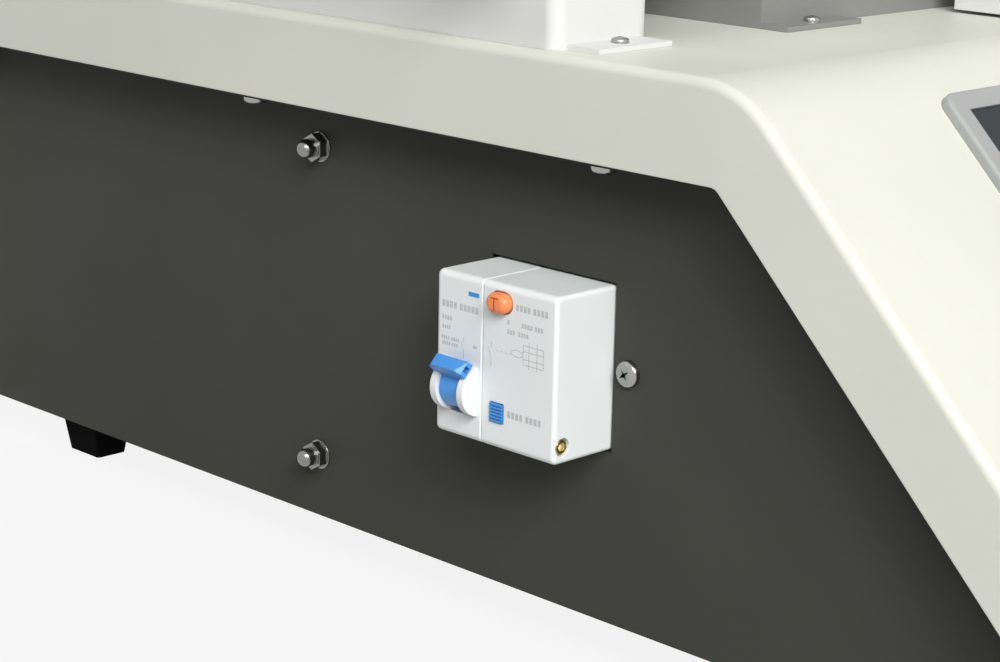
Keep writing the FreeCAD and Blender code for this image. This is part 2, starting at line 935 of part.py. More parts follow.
def make_cap_nuts():
    body = new_body("nut_master")
    flats = d.nut_flats / 2
    corner = flats / math.cos(math.radians(30))
    points = []
    for i in range(6):
        turn = math.radians(60 * i)
        points.append((corner * math.cos(turn), corner * math.sin(turn)))
    pad(outline(draw_on(body, "XY_Plane", d.washer_height), points), d.nut_height)
    dome = d.nut_dome
    tip = d.washer_height + d.nut_height + d.nut_neck + dome
    stud = d.stud_width / 2
    profile = [
        (0, -d.stud_reach),
        (stud, -d.stud_reach),
        (stud, 0),
        (d.washer_width / 2, 0),
        (d.washer_width / 2, d.washer_height),
        (dome, d.washer_height),
        (dome, tip, dome - d.seat_gap),
        (0, tip),
    ]
    revolve(outline(draw_on(body, "XZ_Plane"), profile))
    spots = [copy_of(body, -panel_face, d.nut_y, z, (Y_AXIS, -90)) for z in nut_places()]
    group("panel_cap_nuts", spots)


# Breaker


def case_profile():
    """Side outline of the rail-mounted case, with its nose to the left."""
    nose = d.nose_height / 2
    tall = d.case_height / 2
    slot = d.rail_height / 2 + d.seat_gap
    slot_floor = case_back - d.rail_depth + d.rail_skin
    return [
        (nose_face, breaker_z - nose, d.nose_round),
        (shoulder, breaker_z - nose),
        (shoulder, breaker_z - tall, d.case_corner),
        (case_back, breaker_z - tall),
        (case_back, breaker_z - slot),
        (slot_floor, breaker_z - slot),
        (slot_floor, breaker_z + slot),
        (case_back, breaker_z + slot),
        (case_back, breaker_z + tall),
        (shoulder, breaker_z + tall, d.case_corner),
        (shoulder, breaker_z + nose),
        (nose_face, breaker_z + nose, d.nose_round),
    ]


def nose_edge(y):
    def chosen(edge):
        upright = edge.BoundBox.ZLength > d.nose_height.value / 2
        return upright and lies_at(edge, "X", nose_face) and lies_at(edge, "Y", y)

    return chosen


def make_breaker_pole():
    body = new_body("breaker_pole")
    low = seam_y + d.seat_gap / 2
    pad(outline(draw_on(body, "XZ_Plane", low), case_profile()), breaker_high - low)
    round_edges(body, d.nose_round, nose_edge(breaker_high))
    round_edges(body, d.seam_round, nose_edge(low))
    cheeks = draw_on(body, "XZ_Plane", toggle_y)
    circle(cheeks, toggle_x, toggle_z, d.cheek_radius)
    slot = d.toggle_width + 2 * d.seat_gap
    pad(cheeks, slot + 2 * d.cheek_width, both=True)
    well = draw_on(body, "XZ_Plane", toggle_y)
    circle(well, toggle_x, toggle_z, d.cheek_radius + d.seat_gap)
    pocket(well, slot, both=True)
    node(body, "breaker_pole")


def make_leakage_module():
    body = new_body("leakage_module")
    pad(outline(draw_on(body, "XZ_Plane", breaker_low), case_profile()), d.module_width)
    round_edges(body, d.module_round, nose_edge(breaker_low))
    round_edges(body, d.seam_round, nose_edge(seam_y))
    wells = draw_on(body, "YZ_Plane", nose_face - OVER)
    reach = (d.test_width - d.test_height) / 2
    radius = d.test_height / 2 + d.seat_gap
    stadium(wells, test_y - reach, test_y + reach, breaker_z + d.test_rise, radius)
    side = d.reset_width / 2 + d.seat_gap
    tall = d.reset_height / 2 + d.seat_gap
    middle = breaker_z - d.reset_drop
    rectangle(wells, reset_y - side, reset_y + side, middle - tall, middle + tall)
    pocket(wells, OVER + d.button_depth + d.test_reach, way=1)
    recess = draw_on(body, "XZ_Plane", breaker_low - OVER)
    x, z = eyelet_place()
    circle(recess, x, z, d.eyelet_recess)
    pocket(recess, OVER + d.eyelet_sink, way=1)
    node(body, "leakage_module")


def eyelet_place():
    return nose_face + d.eyelet_back, breaker_z - d.nose_height / 2 + d.eyelet_rise


def make_eyelet():
    profile = [
        (d.eyelet_bore, 0),
        (d.eyelet_radius, 0),
        (d.eyelet_radius, d.eyelet_thick),
        (d.eyelet_bore, d.eyelet_thick),
    ]
    body = turned_piece("breaker_rivet", profile)
    x, z = eyelet_place()
    place(body, x, breaker_low + d.eyelet_sink, z, (X_AXIS, 90))
    node(body, "breaker_rivet")


def make_toggle():
    body = new_body("breaker_toggle")
    pad(circle(draw_on(body, "XZ_Plane"), 0, 0, d.toggle_drum), d.toggle_width, both=True)
    near = -d.grip_start
    far = near - d.grip_length
    brow = far + d.grip_slant
    neck = draw_on(body, "XZ_Plane")
    rectangle(neck, near - OVER, -OVER, -d.grip_low, d.grip_high)
    pad(neck, d.toggle_width, both=True)
    grip = draw_on(body, "XZ_Plane")
    corners = [(far, -d.grip_low), (near, -d.grip_low), (near, d.grip_high), (brow, d.grip_high)]
    pad(outline(grip, corners), d.toggle_grip, both=True)
    hole = d.grip_hole / 2
    across = (near + brow) / 2
    along = (d.grip_high - d.grip_low) / 2
    tie = draw_on(body, "XZ_Plane")
    rectangle(tie, across - hole, across + hole, along - hole, along + hole)
    pocket(tie, d.toggle_grip + OVER, both=True)
    sides = draw_on(body, "XY_Plane", d.grip_high + OVER)
    wide = d.toggle_grip / 2
    tip = brow - 2 * d.grip_slant
    for way in (-1, 1):
        ends = [
            (brow, way * wide),
            (brow, way * (wide + OVER)),
            (tip, way * (wide + OVER)),
            (tip, way * (wide - 2 * d.grip_taper)),
        ]
        outline(sides, ends)
    pocket(sides, d.grip_high + d.grip_low + 2 * OVER)
    place(body, toggle_x, toggle_y, toggle_z, (Y_AXIS, TOGGLE_UP))
    node(body, "breaker_toggle")


def make_test_button():
    body = new_body("test_button")
    reach = (d.test_width - d.test_height) / 2
    face = draw_on(body, "YZ_Plane", -d.test_reach)
    stadium(face, -reach, reach, 0, d.test_height / 2)
    pad(face, d.test_reach + d.button_depth)
    round_edges(body, d.test_round, lambda edge: lies_at(edge, "X", -d.test_reach))
    place(body, nose_face, test_y, breaker_z + d.test_rise)
    node(body, "test_button")


def make_reset_button():
    body = new_body("reset_button")
    wide = d.reset_width / 2
    tall = d.reset_height / 2
    face = draw_on(body, "YZ_Plane", -d.reset_reach)
    rectangle(face, -wide, wide, -tall, tall)
    pad(face, d.reset_reach + d.button_depth)
    grooves = draw_on(body, "YZ_Plane", -d.reset_reach - OVER)
    cut = d.reset_groove_width / 2
    for step in spread(d.reset_grooves, d.reset_groove_pitch):
        rectangle(grooves, -wide - OVER, wide + OVER, step - cut, step + cut)
    pocket(grooves, OVER + d.reset_groove_depth, way=1)
    place(body, nose_face, reset_y, breaker_z - d.reset_drop)
    node(body, "reset_button")


def make_breaker_rail():
    body = new_body("breaker_rail")
    lip = d.rail_height / 2
    hat = lip - d.rail_lip
    skin = d.rail_skin
    face = case_back - d.rail_depth + skin + d.seat_gap
    deep = face + d.rail_depth
    half_profile = [
        (face, lip),
        (face, hat),
        (deep - skin, hat),
        (deep - skin, -hat),
        (face, -hat),
        (face, -lip),
        (face + skin, -lip),
        (face + skin, -hat - skin),
        (deep, -hat - skin),
        (deep, hat + skin),
        (face + skin, hat + skin),
        (face + skin, lip),
    ]
    profile = [(x, breaker_z + z) for x, z in half_profile]
    reach = bracket_reach() - d.sheet - d.seat_gap
    pad(outline(draw_on(body, "XZ_Plane", d.breaker_y), profile), 2 * reach, both=True)
    node(body, "breaker_rail")


def bracket_reach():
    """Half the width of the bracket that carries the breaker's rail."""
    return (d.pole_width + d.module_width) / 2 + 2 * d.breaker_screw_gap


def make_breaker_bracket():
    body = new_body("breaker_bracket")
    inner_face = -panel_face + d.sheet
    rail_back = case_back + d.rail_skin + d.seat_gap
    wide = bracket_reach()
    lip = wide - 2 * d.breaker_screw_gap + d.seat_gap
    y = d.breaker_y
    s = d.sheet
    profile = [
        (inner_face, y - lip),
        (inner_face, y - wide),
        (rail_back + s, y - wide),
        (rail_back + s, y + wide),
        (inner_face, y + wide),
        (inner_face, y + lip),
        (inner_face + s, y + lip),
        (inner_face + s, y + wide - s),
        (rail_back, y + wide - s),
        (rail_back, y - wide + s),
        (inner_face + s, y - wide + s),
        (inner_face + s, y - lip),
    ]
    low = breaker_z - d.bracket_height / 2
    pad(outline(draw_on(body, "XY_Plane", low), profile), d.bracket_height)
    holes = draw_on(body, "YZ_Plane", inner_face - OVER)
    for place_y in breaker_screw_places():
        circle(holes, place_y, breaker_z, shank_hole)
    pocket(holes, through, way=1)
    node(body, "breaker_bracket")


# Relays, supply and control board


def make_heatsink():
    body = new_body("relay_heatsink")
    inner_face = -panel_face + d.sheet
    base_face = inner_face + d.heatsink_depth
    base_back = base_face - d.heatsink_base
    root = base_face - d.heatsink_base / 2
    low = bottom + d.nut_low - d.heatsink_margin
    tall = d.nut_pitch + 2 * d.heatsink_margin
    wide = d.heatsink_width / 2
    base = draw_on(body, "XY_Plane", low)
    rectangle(base, base_back, base_face, d.nut_y - wide, d.nut_y + wide)
    pad(base, tall)
    fins = draw_on(body, "XY_Plane", low)
    for step in spread(d.heatsink_fins, (d.heatsink_width - d.fin_thick) / (d.heatsink_fins - 1)):
        y = d.nut_y + step
        rectangle(fins, inner_face, root, y - d.fin_thick / 2, y + d.fin_thick / 2)
    pad(fins, tall)
    posts = draw_on(body, "YZ_Plane", inner_face)
    for z in nut_places():
        circle(posts, d.nut_y, z, d.stud_width)
    pad(posts, root - inner_face)
    bores = draw_on(body, "YZ_Plane", inner_face - OVER)
    for z in nut_places():
        circle(bores, d.nut_y, z, d.stud_width / 2 + d.hole_gap)
    pocket(bores, d.stud_reach + 2 * OVER, way=1)
    node(body, "relay_heatsink")


def make_relays():
    body = new_body("relay_master")
    long = d.relay_length / 2
    wide = d.relay_width / 2
    face = draw_on(body, "YZ_Plane", 0)
    rectangle(face, -long, long, -wide, wide, d.relay_corner)
    pad(face, d.relay_depth)
    ledges = draw_on(body, "YZ_Plane", d.relay_depth + OVER)
    inner = long - d.relay_ledge
    rectangle(ledges, -long - OVER, -inner, -wide - OVER, wide + OVER)
    rectangle(ledges, inner, long + OVER, -wide - OVER, wide + OVER)
    pocket(ledges, OVER + d.relay_ledge_drop)
    x = -panel_face + d.sheet + d.heatsink_depth
    middle = bottom + d.nut_low + d.nut_pitch / 2
    spots = [copy_of(body, x, d.nut_y, middle + step) for step in spread(2, d.relay_pitch)]
    group("solid_state_relays", spots)


def make_power_supply():
    body = new_body("power_supply")
    long = d.supply_length / 2
    wide = d.supply_width / 2
    case = draw_on(body, "XY_Plane", 0)
    rectangle(case, -long, long, -wide, wide)
    pad(case, d.supply_height)
    ledge = draw_on(body, "XY_Plane", d.supply_height + OVER)
    rectangle(ledge, -long - OVER, d.supply_ledge - long, -wide - OVER, wide + OVER)
    pocket(ledge, OVER + d.supply_ledge_drop)
    vents = draw_on(body, "XY_Plane", d.supply_height + OVER)
    row = [d.supply_ledge / 2 + x for x in spread(d.supply_slots, d.supply_slot_pitch)]
    reach = d.supply_slot_length / 2
    slots(vents, row, d.supply_slot_width, -reach, reach)
    pocket(vents, OVER + d.supply_slot_depth)
    place(body, d.supply_x, d.supply_y, bottom + d.sheet)
    node(body, "power_supply")


def block_on_board(drawing, x, y, length, width):
    rectangle(drawing, x - length / 2, x + length / 2, y - width / 2, y + width / 2)


def make_control_board():
    body = new_body("control_board")
    board = draw_on(body, "XY_Plane", 0)
    block_on_board(board, size(0), size(0), d.board_length, d.board_width)
    pad(board, d.board_thick)
    aside = d.board_length / 5
    relays = draw_on(body, "XY_Plane", d.board_thick)
    for x in spread(3, d.board_relay_pitch):
        place_y = d.board_width / 4
        block_on_board(relays, x - aside, place_y, d.board_relay_length, d.board_relay_width)
    pad(relays, d.board_relay_height)
    flat = draw_on(body, "XY_Plane", d.board_thick)
    block_on_board(flat, aside, size(0), d.board_chip, d.board_chip)
    place_y = -d.board_width * 3 / 8
    block_on_board(flat, -aside, place_y, d.board_socket_length, d.board_socket_width)
    pad(flat, d.board_low_height)
    place(body, d.board_x, d.board_y, bottom + d.sheet + d.board_post_height)
    node(body, "control_board")


def fan_frame(label):
    """Square axial fan frame with a motor plate on struts, standing on z = 0."""
    body = new_body(label)
    reach = d.fan_side / 2
    ring = draw_on(body, "XY_Plane", 0)
    rectangle(ring, -reach, reach, -reach, reach, d.fan_corner)
    circle(ring, 0, 0, d.fan_bore)
    pad(ring, d.fan_depth)
    hub = draw_on(body, "XY_Plane", 0)
    circle(hub, 0, 0, d.fan_hub)
    pad(hub, d.fan_plate)
    strut = draw_on(body, "XY_Plane", 0)
    wide = d.fan_strut / 2
    rectangle(strut, d.fan_hub - wide, d.fan_bore + OVER, -wide, wide)
    around(body, pad(strut, d.fan_plate), d.fan_struts)
    pin = draw_on(body, "XY_Plane", d.fan_plate)
    circle(pin, 0, 0, d.fan_pin)
    pad(pin, d.fan_pin_length)
    return body


def fan_rotor(label):
    """Pitched blades on a cup that turns on the frame's pin."""
    body = new_body(label)
    floor = d.fan_plate + d.fan_lift
    cup = draw_on(body, "XY_Plane", floor)
    circle(cup, 0, 0, d.fan_hub)
    pad(cup, d.fan_depth - d.fan_front_gap - floor)
    bore = draw_on(body, "XY_Plane", floor - OVER)
    circle(bore, 0, 0, d.fan_pin + d.running_gap)
    pocket(bore, OVER + d.fan_pin_length, way=1)
    blade = draw_on(body, "YZ_Plane", d.fan_hub - d.fan_blade)
    low = d.fan_blade_margin
    high = d.fan_depth - d.fan_blade_margin
    sweep = d.fan_blade_sweep / 2
    thick = d.fan_blade
    outline(blade, [(-sweep, low), (thick - sweep, low), (sweep, high), (sweep - thick, high)])
    around(body, pad(blade, d.fan_bore - d.fan_tip_gap - d.fan_hub), d.fan_blades)
    return body


def make_cabinet_fan():
    y = back_face - d.sheet - d.fan_depth
    turn = (X_AXIS, -90)
    node(place(fan_frame("cabinet_fan_frame"), d.fan_x, y, fan_z, turn), "cabinet_fan_frame")
    node(place(fan_rotor("cabinet_fan_rotor"), d.fan_x, y, fan_z, turn), "cabinet_fan_rotor")


def make_gland():
    profile = [
        (d.gland_bore, -d.gland_tail),
        (d.gland_thread, -d.gland_tail),
        (d.gland_thread, 0),
        (d.gland_radius, 0),
        (d.gland_radius, d.gland_nut),
        (d.gland_radius - d.gland_step, d.gland_nut),
        (d.gland_radius - d.gland_step, d.gland_reach, d.gland_round),
        (d.gland_bore, d.gland_reach),
    ]
    body = turned_piece("cable_gland", profile)
    place(body, d.gland_x, back_face, bottom + d.gland_rise, (X_AXIS, -90))
    node(body, "cable_gland")


# Operator panel


def slope_place(body, x):
    return place(body, x, slope_top, top, (X_AXIS, 45))


def make_display():
    body = new_body("display_bezel")
    left = -half + d.display_left
    right = left + d.display_width
    high = -d.display_drop
    low = high - d.display_height
    frame = d.display_frame
    plate = draw_on(body, "XY_Plane", 0)
    rectangle(plate, left, right, low, high, d.display_corner)
    pad(plate, d.display_thick)
    round_edges(body, d.display_round, lambda edge: lies_at(edge, "Z", d.display_thick))
    window = draw_on(body, "XY_Plane", d.display_thick + OVER)
    rectangle(window, left + frame, right - frame, low + frame, high - frame)
    pocket(window, OVER + d.glass_thick + d.glass_sink)
    box = draw_on(body, "XY_Plane", 0)
    rectangle(box, left + frame, right - frame, low + frame, high - frame)
    pad(box, d.display_depth, way=-1)
    slope_place(body, 0)
    node(body, "display_bezel")
    glass = new_body("display_glass")
    pane = draw_on(glass, "XY_Plane", d.display_thick - d.glass_sink - d.glass_thick)
    gap = frame + d.hole_gap
    rectangle(pane, left + gap, right - gap, low + gap, high - gap)
    pad(pane, d.glass_thick)
    slope_place(glass, 0)
    node(glass, "display_glass")


def make_stop():
    collar = [
        (d.stop_stem + d.hole_gap, -d.stop_barrel_tail),
        (d.stop_barrel, -d.stop_barrel_tail),
        (d.stop_barrel, 0),
        (d.stop_collar, 0),
        (d.stop_collar, d.stop_collar_height, d.stop_collar_round),
        (d.stop_stem + d.hole_gap, d.stop_collar_height),
    ]
    body = turned_piece("stop_collar", collar)
    node(place_stop(body), "stop_collar")
    under = d.stop_collar_height + d.stop_travel + d.stop_lift
    radius = d.stop_radius
    rim = under + d.stop_rim
    edge = rim + d.stop_side
    crown = edge + d.stop_crown - d.stop_bulge
    mushroom = [
        (0, -d.stop_stem_tail),
        (d.stop_stem, -d.stop_stem_tail),
        (d.stop_stem, under),
        (radius - d.stop_rim, under),
        (radius, rim, d.stop_rim / 2),
        (radius, edge),
        (radius - d.stop_crown, crown, 1.5 * d.stop_crown),
        (0, crown + d.stop_bulge),
    ]
    button = turned_piece("stop_button", mushroom)
    node(place_stop(button), "stop_button")


def place_stop(body):
    down = math.sqrt(0.5)
    y = slope_top - d.stop_drop * down
    z = top - d.stop_drop * down
    return place(body, d.stop_x, y, z, (X_AXIS, 45))


# Conveyor


def make_stand(side):
    label = "infeed_stand" if side < 0 else "outfeed_stand"
    body = new_body(label)
    inner = stand_outer - d.stand_width
    low, high = (-stand_outer, -inner) if side < 0 else (inner, stand_outer)
    block = draw_on(body, "XY_Plane", top)
    rectangle(block, low, high, stand_front, stand_back, d.stand_corner)
    pad(block, rail_low - top)
    hollow = draw_on(body, "XY_Plane", top - OVER)
    s = d.sheet
    rectangle(hollow, low + s, high - s, stand_front + s, stand_back - s, d.stand_corner - s)
    pocket(hollow, rail_low - top + OVER - s, way=1)
    tabs = draw_on(body, "XY_Plane", top)
    reach = d.stand_tab_depth
    x_low = (low + high - d.stand_tab) / 2
    x_high = (low + high + d.stand_tab) / 2
    rectangle(tabs, x_low, x_high, stand_front - reach, stand_front + s)
    rectangle(tabs, x_low, x_high, stand_back - s, stand_back + reach)
    pad(tabs, s)
    screw_holes(body, [p for p in stand_tab_places() if (p[0].value < 0) == (side < 0)])
    node(body, label)


def screw_holes(body, places):
    holes = draw_on(body, "XY_Plane", top + d.sheet + OVER)
    for x, y in places:
        circle(holes, x, y, tab_hole)
    pocket(holes, through)


def make_rail(side):
    label = "front_rail" if side < 0 else "rear_rail"
    body = new_body(label)
    inner = d.belt_centre_y + side * rail_inner
    outer = inner + side * d.rail_web
    lip = outer - side * d.rail_flange
    web = d.rail_web
    profile = [
        (outer, rail_low),
        (outer, rail_top),
        (lip, rail_top),
        (lip, rail_top - web),
        (inner, rail_top - web),
        (inner, rail_low + web),
        (lip, rail_low + web),
        (lip, rail_low),
    ]
    length = d.base_length + 2 * d.rail_overhang
    pad(outline(draw_on(body, "YZ_Plane"), profile), length, both=True)
    bores = draw_on(body, "XZ_Plane", d.belt_centre_y + side * rail_inner)
    for end in (-1, 1):
        circle(bores, end * half, roller_z, d.bearing_boss + d.hole_gap)
    pocket(bores, d.rail_web * 3, both=True)
    node(body, label)


def make_bearings():
    profile = [
        (d.shaft_radius + d.running_gap, -d.bearing_reach),
        (d.bearing_boss, -d.bearing_reach),
        (d.bearing_boss, 0),
        (d.bearing_flange, 0),
        (d.bearing_flange, d.bearing_thick, d.bearing_round),
        (d.shaft_radius + d.running_gap, d.bearing_thick),
    ]
    body = turned_piece("bearing_master", profile)
    reach = rail_inner + d.rail_web
    spots = []
    for end in (-1, 1):
        spots.append(copy_of(body, end * half, d.belt_centre_y - reach, roller_z, (X_AXIS, 90)))
        spots.append(copy_of(body, end * half, d.belt_centre_y + reach, roller_z, (X_AXIS, -90)))
    group("roller_bearings", spots)


def make_roller(label, end, extra):
    reach = d.belt_width / 2
    shaft = rail_inner + d.rail_web + d.bearing_thick
    r = d.shaft_radius
    profile = [
        (0, -shaft),
        (r, -shaft),
        (r, -reach),
        (d.roller_radius, -reach, d.roller_round),
        (d.roller_radius, reach, d.roller_round),
        (r, reach),
        (r, shaft + extra),
        (0, shaft + extra),
    ]
    body = turned_piece(label, profile)
    place(body, end * half, d.belt_centre_y, roller_z, (X_AXIS, -90))
    node(body, label)


def make_belt():
    body = new_body("mesh_belt")
    loop = draw_on(body, "XZ_Plane", d.belt_centre_y)
    stadium(loop, -half, half, roller_z, belt_radius + d.belt_thick)
    stadium(loop, -half, half, roller_z, belt_radius)
    pad(loop, d.belt_width, both=True)
    node(body, "mesh_belt")


def make_rods():
    body = new_body("rod_master")
    pad(circle(draw_on(body, "XZ_Plane", 0), 0, 0, d.rod_radius), 2 * rail_inner, both=True)
    carry = roller_z + belt_radius - d.seat_gap - d.rod_radius
    hold = roller_z - belt_radius - d.belt_thick - d.seat_gap - d.rod_radius
    rods = []
    for z, count in ((carry, d.carry_rods), (hold, d.return_rods)):
        for x in spread(count, d.base_length / count):
            rods.append(copy_of(body, x, d.belt_centre_y, z))
    group("belt_support_rods", rods)


def make_drive():
    start = d.belt_centre_y + rail_inner + d.rail_web + d.bearing_thick
    wide = d.gearbox_width / 2
    tall = d.gearbox_height / 2
    body = new_body("drive_gearbox")
    case = draw_on(body, "XZ_Plane", start)
    low = roller_z - tall
    rectangle(case, half - wide, half + wide, low, roller_z + tall, d.gearbox_corner)
    pad(case, d.gearbox_depth)
    bore = draw_on(body, "XZ_Plane", start - OVER)
    circle(bore, half, roller_z, d.shaft_radius + d.running_gap)
    pocket(bore, d.drive_shaft + 2 * OVER, way=1)
    node(body, "drive_gearbox")
    motor = new_body("drive_motor")
    end = draw_on(motor, "YZ_Plane", half - wide)
    circle(end, start + d.gearbox_depth / 2, roller_z, d.motor_radius)
    pad(end, d.motor_length, way=-1)
    node(motor, "drive_motor")


def make_drive_cover():
    body = new_body("drive_cover")
    start = d.belt_centre_y + rail_inner + d.rail_web + d.seat_gap
    finish = start + d.bearing_thick + d.gearbox_depth + d.cover_gap
    low = half - d.gearbox_width / 2 - d.motor_length - d.cover_gap
    high = half + d.gearbox_width / 2 + d.cover_gap
    ceiling = roller_z + d.gearbox_height / 2 + d.cover_gap
    s = d.sheet
    shape = draw_on(body, "XZ_Plane", start)
    corners = [(low, top), (high, top), (high, ceiling, d.cover_corner), (low, ceiling, d.cover_corner)]
    pad(outline(shape, corners), finish - start)
    inside = draw_on(body, "XZ_Plane", start - OVER)
    inner = d.cover_corner - s
    corners = [
        (low + s, top - OVER),
        (high - s, top - OVER),
        (high - s, ceiling - s, inner),
        (low + s, ceiling - s, inner),
    ]
    pocket(outline(inside, corners), finish - start + OVER - s, way=1)
    vents = draw_on(body, "XZ_Plane", finish + OVER)
    row = [(low + high) / 2 + x for x in spread(d.cover_slots, d.cover_slot_pitch)]
    reach = d.cover_slot_length / 2
    slots(vents, row, d.cover_slot_width, roller_z - reach, roller_z + reach)
    pocket(vents, through)
    node(body, "drive_cover")


# Heated tunnel


def make_lower_chamber():
    body = new_body("lower_chamber")
    s = d.sheet
    block = draw_on(body, "YZ_Plane")
    pad(rectangle(block, tunnel_front, tunnel_back, top, rim), d.tunnel_length, both=True)
    inside = draw_on(body, "YZ_Plane")
    rectangle(inside, tunnel_front + s, tunnel_back - s, top + s, rim + OVER)
    pocket(inside, d.tunnel_length - 2 * s, both=True)
    ends = draw_on(body, "YZ_Plane")
    rectangle(ends, tunnel_front + s, tunnel_back - s, top + d.chamber_end, rim + OVER)
    pocket(ends, d.tunnel_length + 2 * OVER, both=True)
    tabs = draw_on(body, "XY_Plane", top)
    wide = d.tab_width / 2
    for x, y in chamber_tab_places():
        if y.value < d.belt_centre_y.value:
            rectangle(tabs, x - wide, x + wide, tunnel_front - d.tab_depth, tunnel_front + s)
        else:
            rectangle(tabs, x - wide, x + wide, tunnel_back - s, tunnel_back + d.tab_depth)
    pad(tabs, s)
    screw_holes(body, chamber_tab_places())
    node(body, "lower_chamber")


def make_lower_insulation():
    body = new_body("lower_insulation")
    s = d.sheet
    slab = draw_on(body, "YZ_Plane")
    rectangle(slab, tunnel_front + s, tunnel_back - s, top + s, top + s + d.insulation)
    pad(slab, d.tunnel_length - 2 * s, both=True)
    node(body, "lower_insulation")


def make_heaters(layer, reach, z, places):
    """Quartz tubes across the belt, held at both ends in ceramic caps."""
    tube = new_body(f"{layer}_tube_master")
    sink = d.heater_cap_length / 2
    length = 2 * (reach - sink)
    pad(circle(draw_on(tube, "XZ_Plane"), 0, 0, d.heater_radius), length, both=True)
    cap = turned_piece(
        f"{layer}_cap_master",
        [
            (0, 0),
            (d.heater_cap, 0),
            (d.heater_cap, d.heater_cap_length),
            (d.heater_radius + d.hole_gap, d.heater_cap_length),
            (d.heater_radius + d.hole_gap, sink),
            (0, sink),
        ],
    )
    y = d.belt_centre_y
    group(f"{layer}_heater_tubes", [copy_of(tube, x, y, z) for x in places])
    caps = [copy_of(cap, x, y - reach, z, (X_AXIS, -90)) for x in places]
    caps += [copy_of(cap, x, y + reach, z, (X_AXIS, 90)) for x in places]
    group(f"{layer}_heater_caps", caps)


# Hood


def hood_outline(inset, drop):
    return [
        (-d.hood_front + inset, hood_low - drop),
        (-d.hood_front + inset, hood_top - inset, d.hood_round - inset),
        (d.hood_back - inset, hood_top - inset, d.hood_back_round - inset),
        (d.hood_back - inset, hood_low - drop),
    ]


def make_hood():
    body = new_body("hood")
    s = d.sheet
    pad(outline(draw_on(body, "YZ_Plane"), hood_outline(0, 0)), d.hood_length, both=True)

    def end_edge(edge):
        at_end = lies_at(edge, "X", hood_half) or lies_at(edge, "X", -hood_half)
        return at_end and not lies_at(edge, "Z", hood_low)

    round_edges(body, d.fold_radius, end_edge)
    inside = outline(draw_on(body, "YZ_Plane"), hood_outline(s, OVER))
    pocket(inside, d.hood_length - 2 * s, both=True)
    gap = d.notch_gap
    notch = [
        (tunnel_front - gap, hood_low - OVER),
        (tunnel_back + gap, hood_low - OVER),
        (tunnel_back + gap, split),
        (tunnel_back - s, split),
        (tunnel_back - s, mouth_top - s),
        (tunnel_front + s, mouth_top - s),
        (tunnel_front + s, split),
        (tunnel_front - gap, split),
    ]
    pocket(outline(draw_on(body, "YZ_Plane"), notch), d.hood_length + 2 * OVER, both=True)
    ports = draw_on(body, "XY_Plane", hood_top + OVER)
    for x in (-d.exhaust_x, d.exhaust_x):
        circle(ports, x, d.belt_centre_y, d.exhaust_radius - s)
    pocket(ports, through)
    vents = draw_on(body, "XZ_Plane", d.hood_back + OVER)
    high = hood_top - d.hood_slot_drop
    row = spread(d.hood_slots, d.hood_slot_pitch)
    slots(vents, row, d.hood_slot_width, high - d.hood_slot_length, high)
    pocket(vents, through)
    node(body, "hood")


def make_mouths():
    s = d.sheet
    mouths = []
    for side in (-1, 1):
        body = new_body("infeed_mouth" if side < 0 else "outfeed_mouth")
        tube = draw_on(body, "YZ_Plane", side * hood_half)
        profile = [
            (tunnel_front, split),
            (tunnel_front + s, split),
            (tunnel_front + s, mouth_top - s),
            (tunnel_back - s, mouth_top - s),
            (tunnel_back - s, split),
            (tunnel_back, split),
            (tunnel_back, mouth_top),
            (tunnel_front, mouth_top),
        ]
        pad(outline(tube, profile), d.tunnel_length / 2 - hood_half, way=side)
        collar = draw_on(body, "YZ_Plane", side * hood_half)
        wide = d.mouth_flange
        profile = [
            (tunnel_front - wide, split + s),
            (tunnel_front + s, split + s),
            (tunnel_front + s, mouth_top - s),
            (tunnel_back - s, mouth_top - s),
            (tunnel_back - s, split + s),
            (tunnel_back + wide, split + s),
            (tunnel_back + wide, mouth_top + wide),
            (tunnel_front - wide, mouth_top + wide),
        ]
        pad(outline(collar, profile), s, way=side)
        if side > 0:
            port = draw_on(body, "XY_Plane", mouth_top + OVER)
            circle(port, mouth_fan_x, d.belt_centre_y, d.fan_bore)
            pocket(port, through)
        mouths.append(body)
    group("tunnel_mouths", mouths)


def make_upper_chamber():
    body = new_body("upper_chamber")
    s = d.sheet
    length = d.hood_length - 2 * s
    block = draw_on(body, "YZ_Plane")
    pad(rectangle(block, tunnel_front, tunnel_back, split, chamber_top), length, both=True)
    inside = draw_on(body, "YZ_Plane")
    rectangle(inside, tunnel_front + s, tunnel_back - s, split - OVER, chamber_top - s)
    pocket(inside, length - 2 * s, both=True)
    ends = draw_on(body, "YZ_Plane")
    rectangle(ends, tunnel_front + s, tunnel_back - s, split - OVER, mouth_top - s)
    pocket(ends, length + 2 * OVER, both=True)
    shafts = draw_on(body, "XY_Plane", chamber_top + OVER)
    for x in (-d.blower_x, d.blower_x):
        circle(shafts, x, d.belt_centre_y, d.blower_shaft + d.blower_shaft_clear)
    pocket(shafts, through)
    node(body, "upper_chamber")


def make_upper_insulation():
    body = new_body("upper_insulation")
    slab = draw_on(body, "XY_Plane", chamber_top)
    reach = hood_half - d.sheet - d.seat_gap
    rectangle(slab, -reach, reach, tunnel_front, tunnel_back)
    for x in (-d.blower_x, d.blower_x):
        circle(slab, x, d.belt_centre_y, d.blower_shaft + d.blower_shaft_clear)
    pad(slab, d.insulation)
    node(body, "upper_insulation")


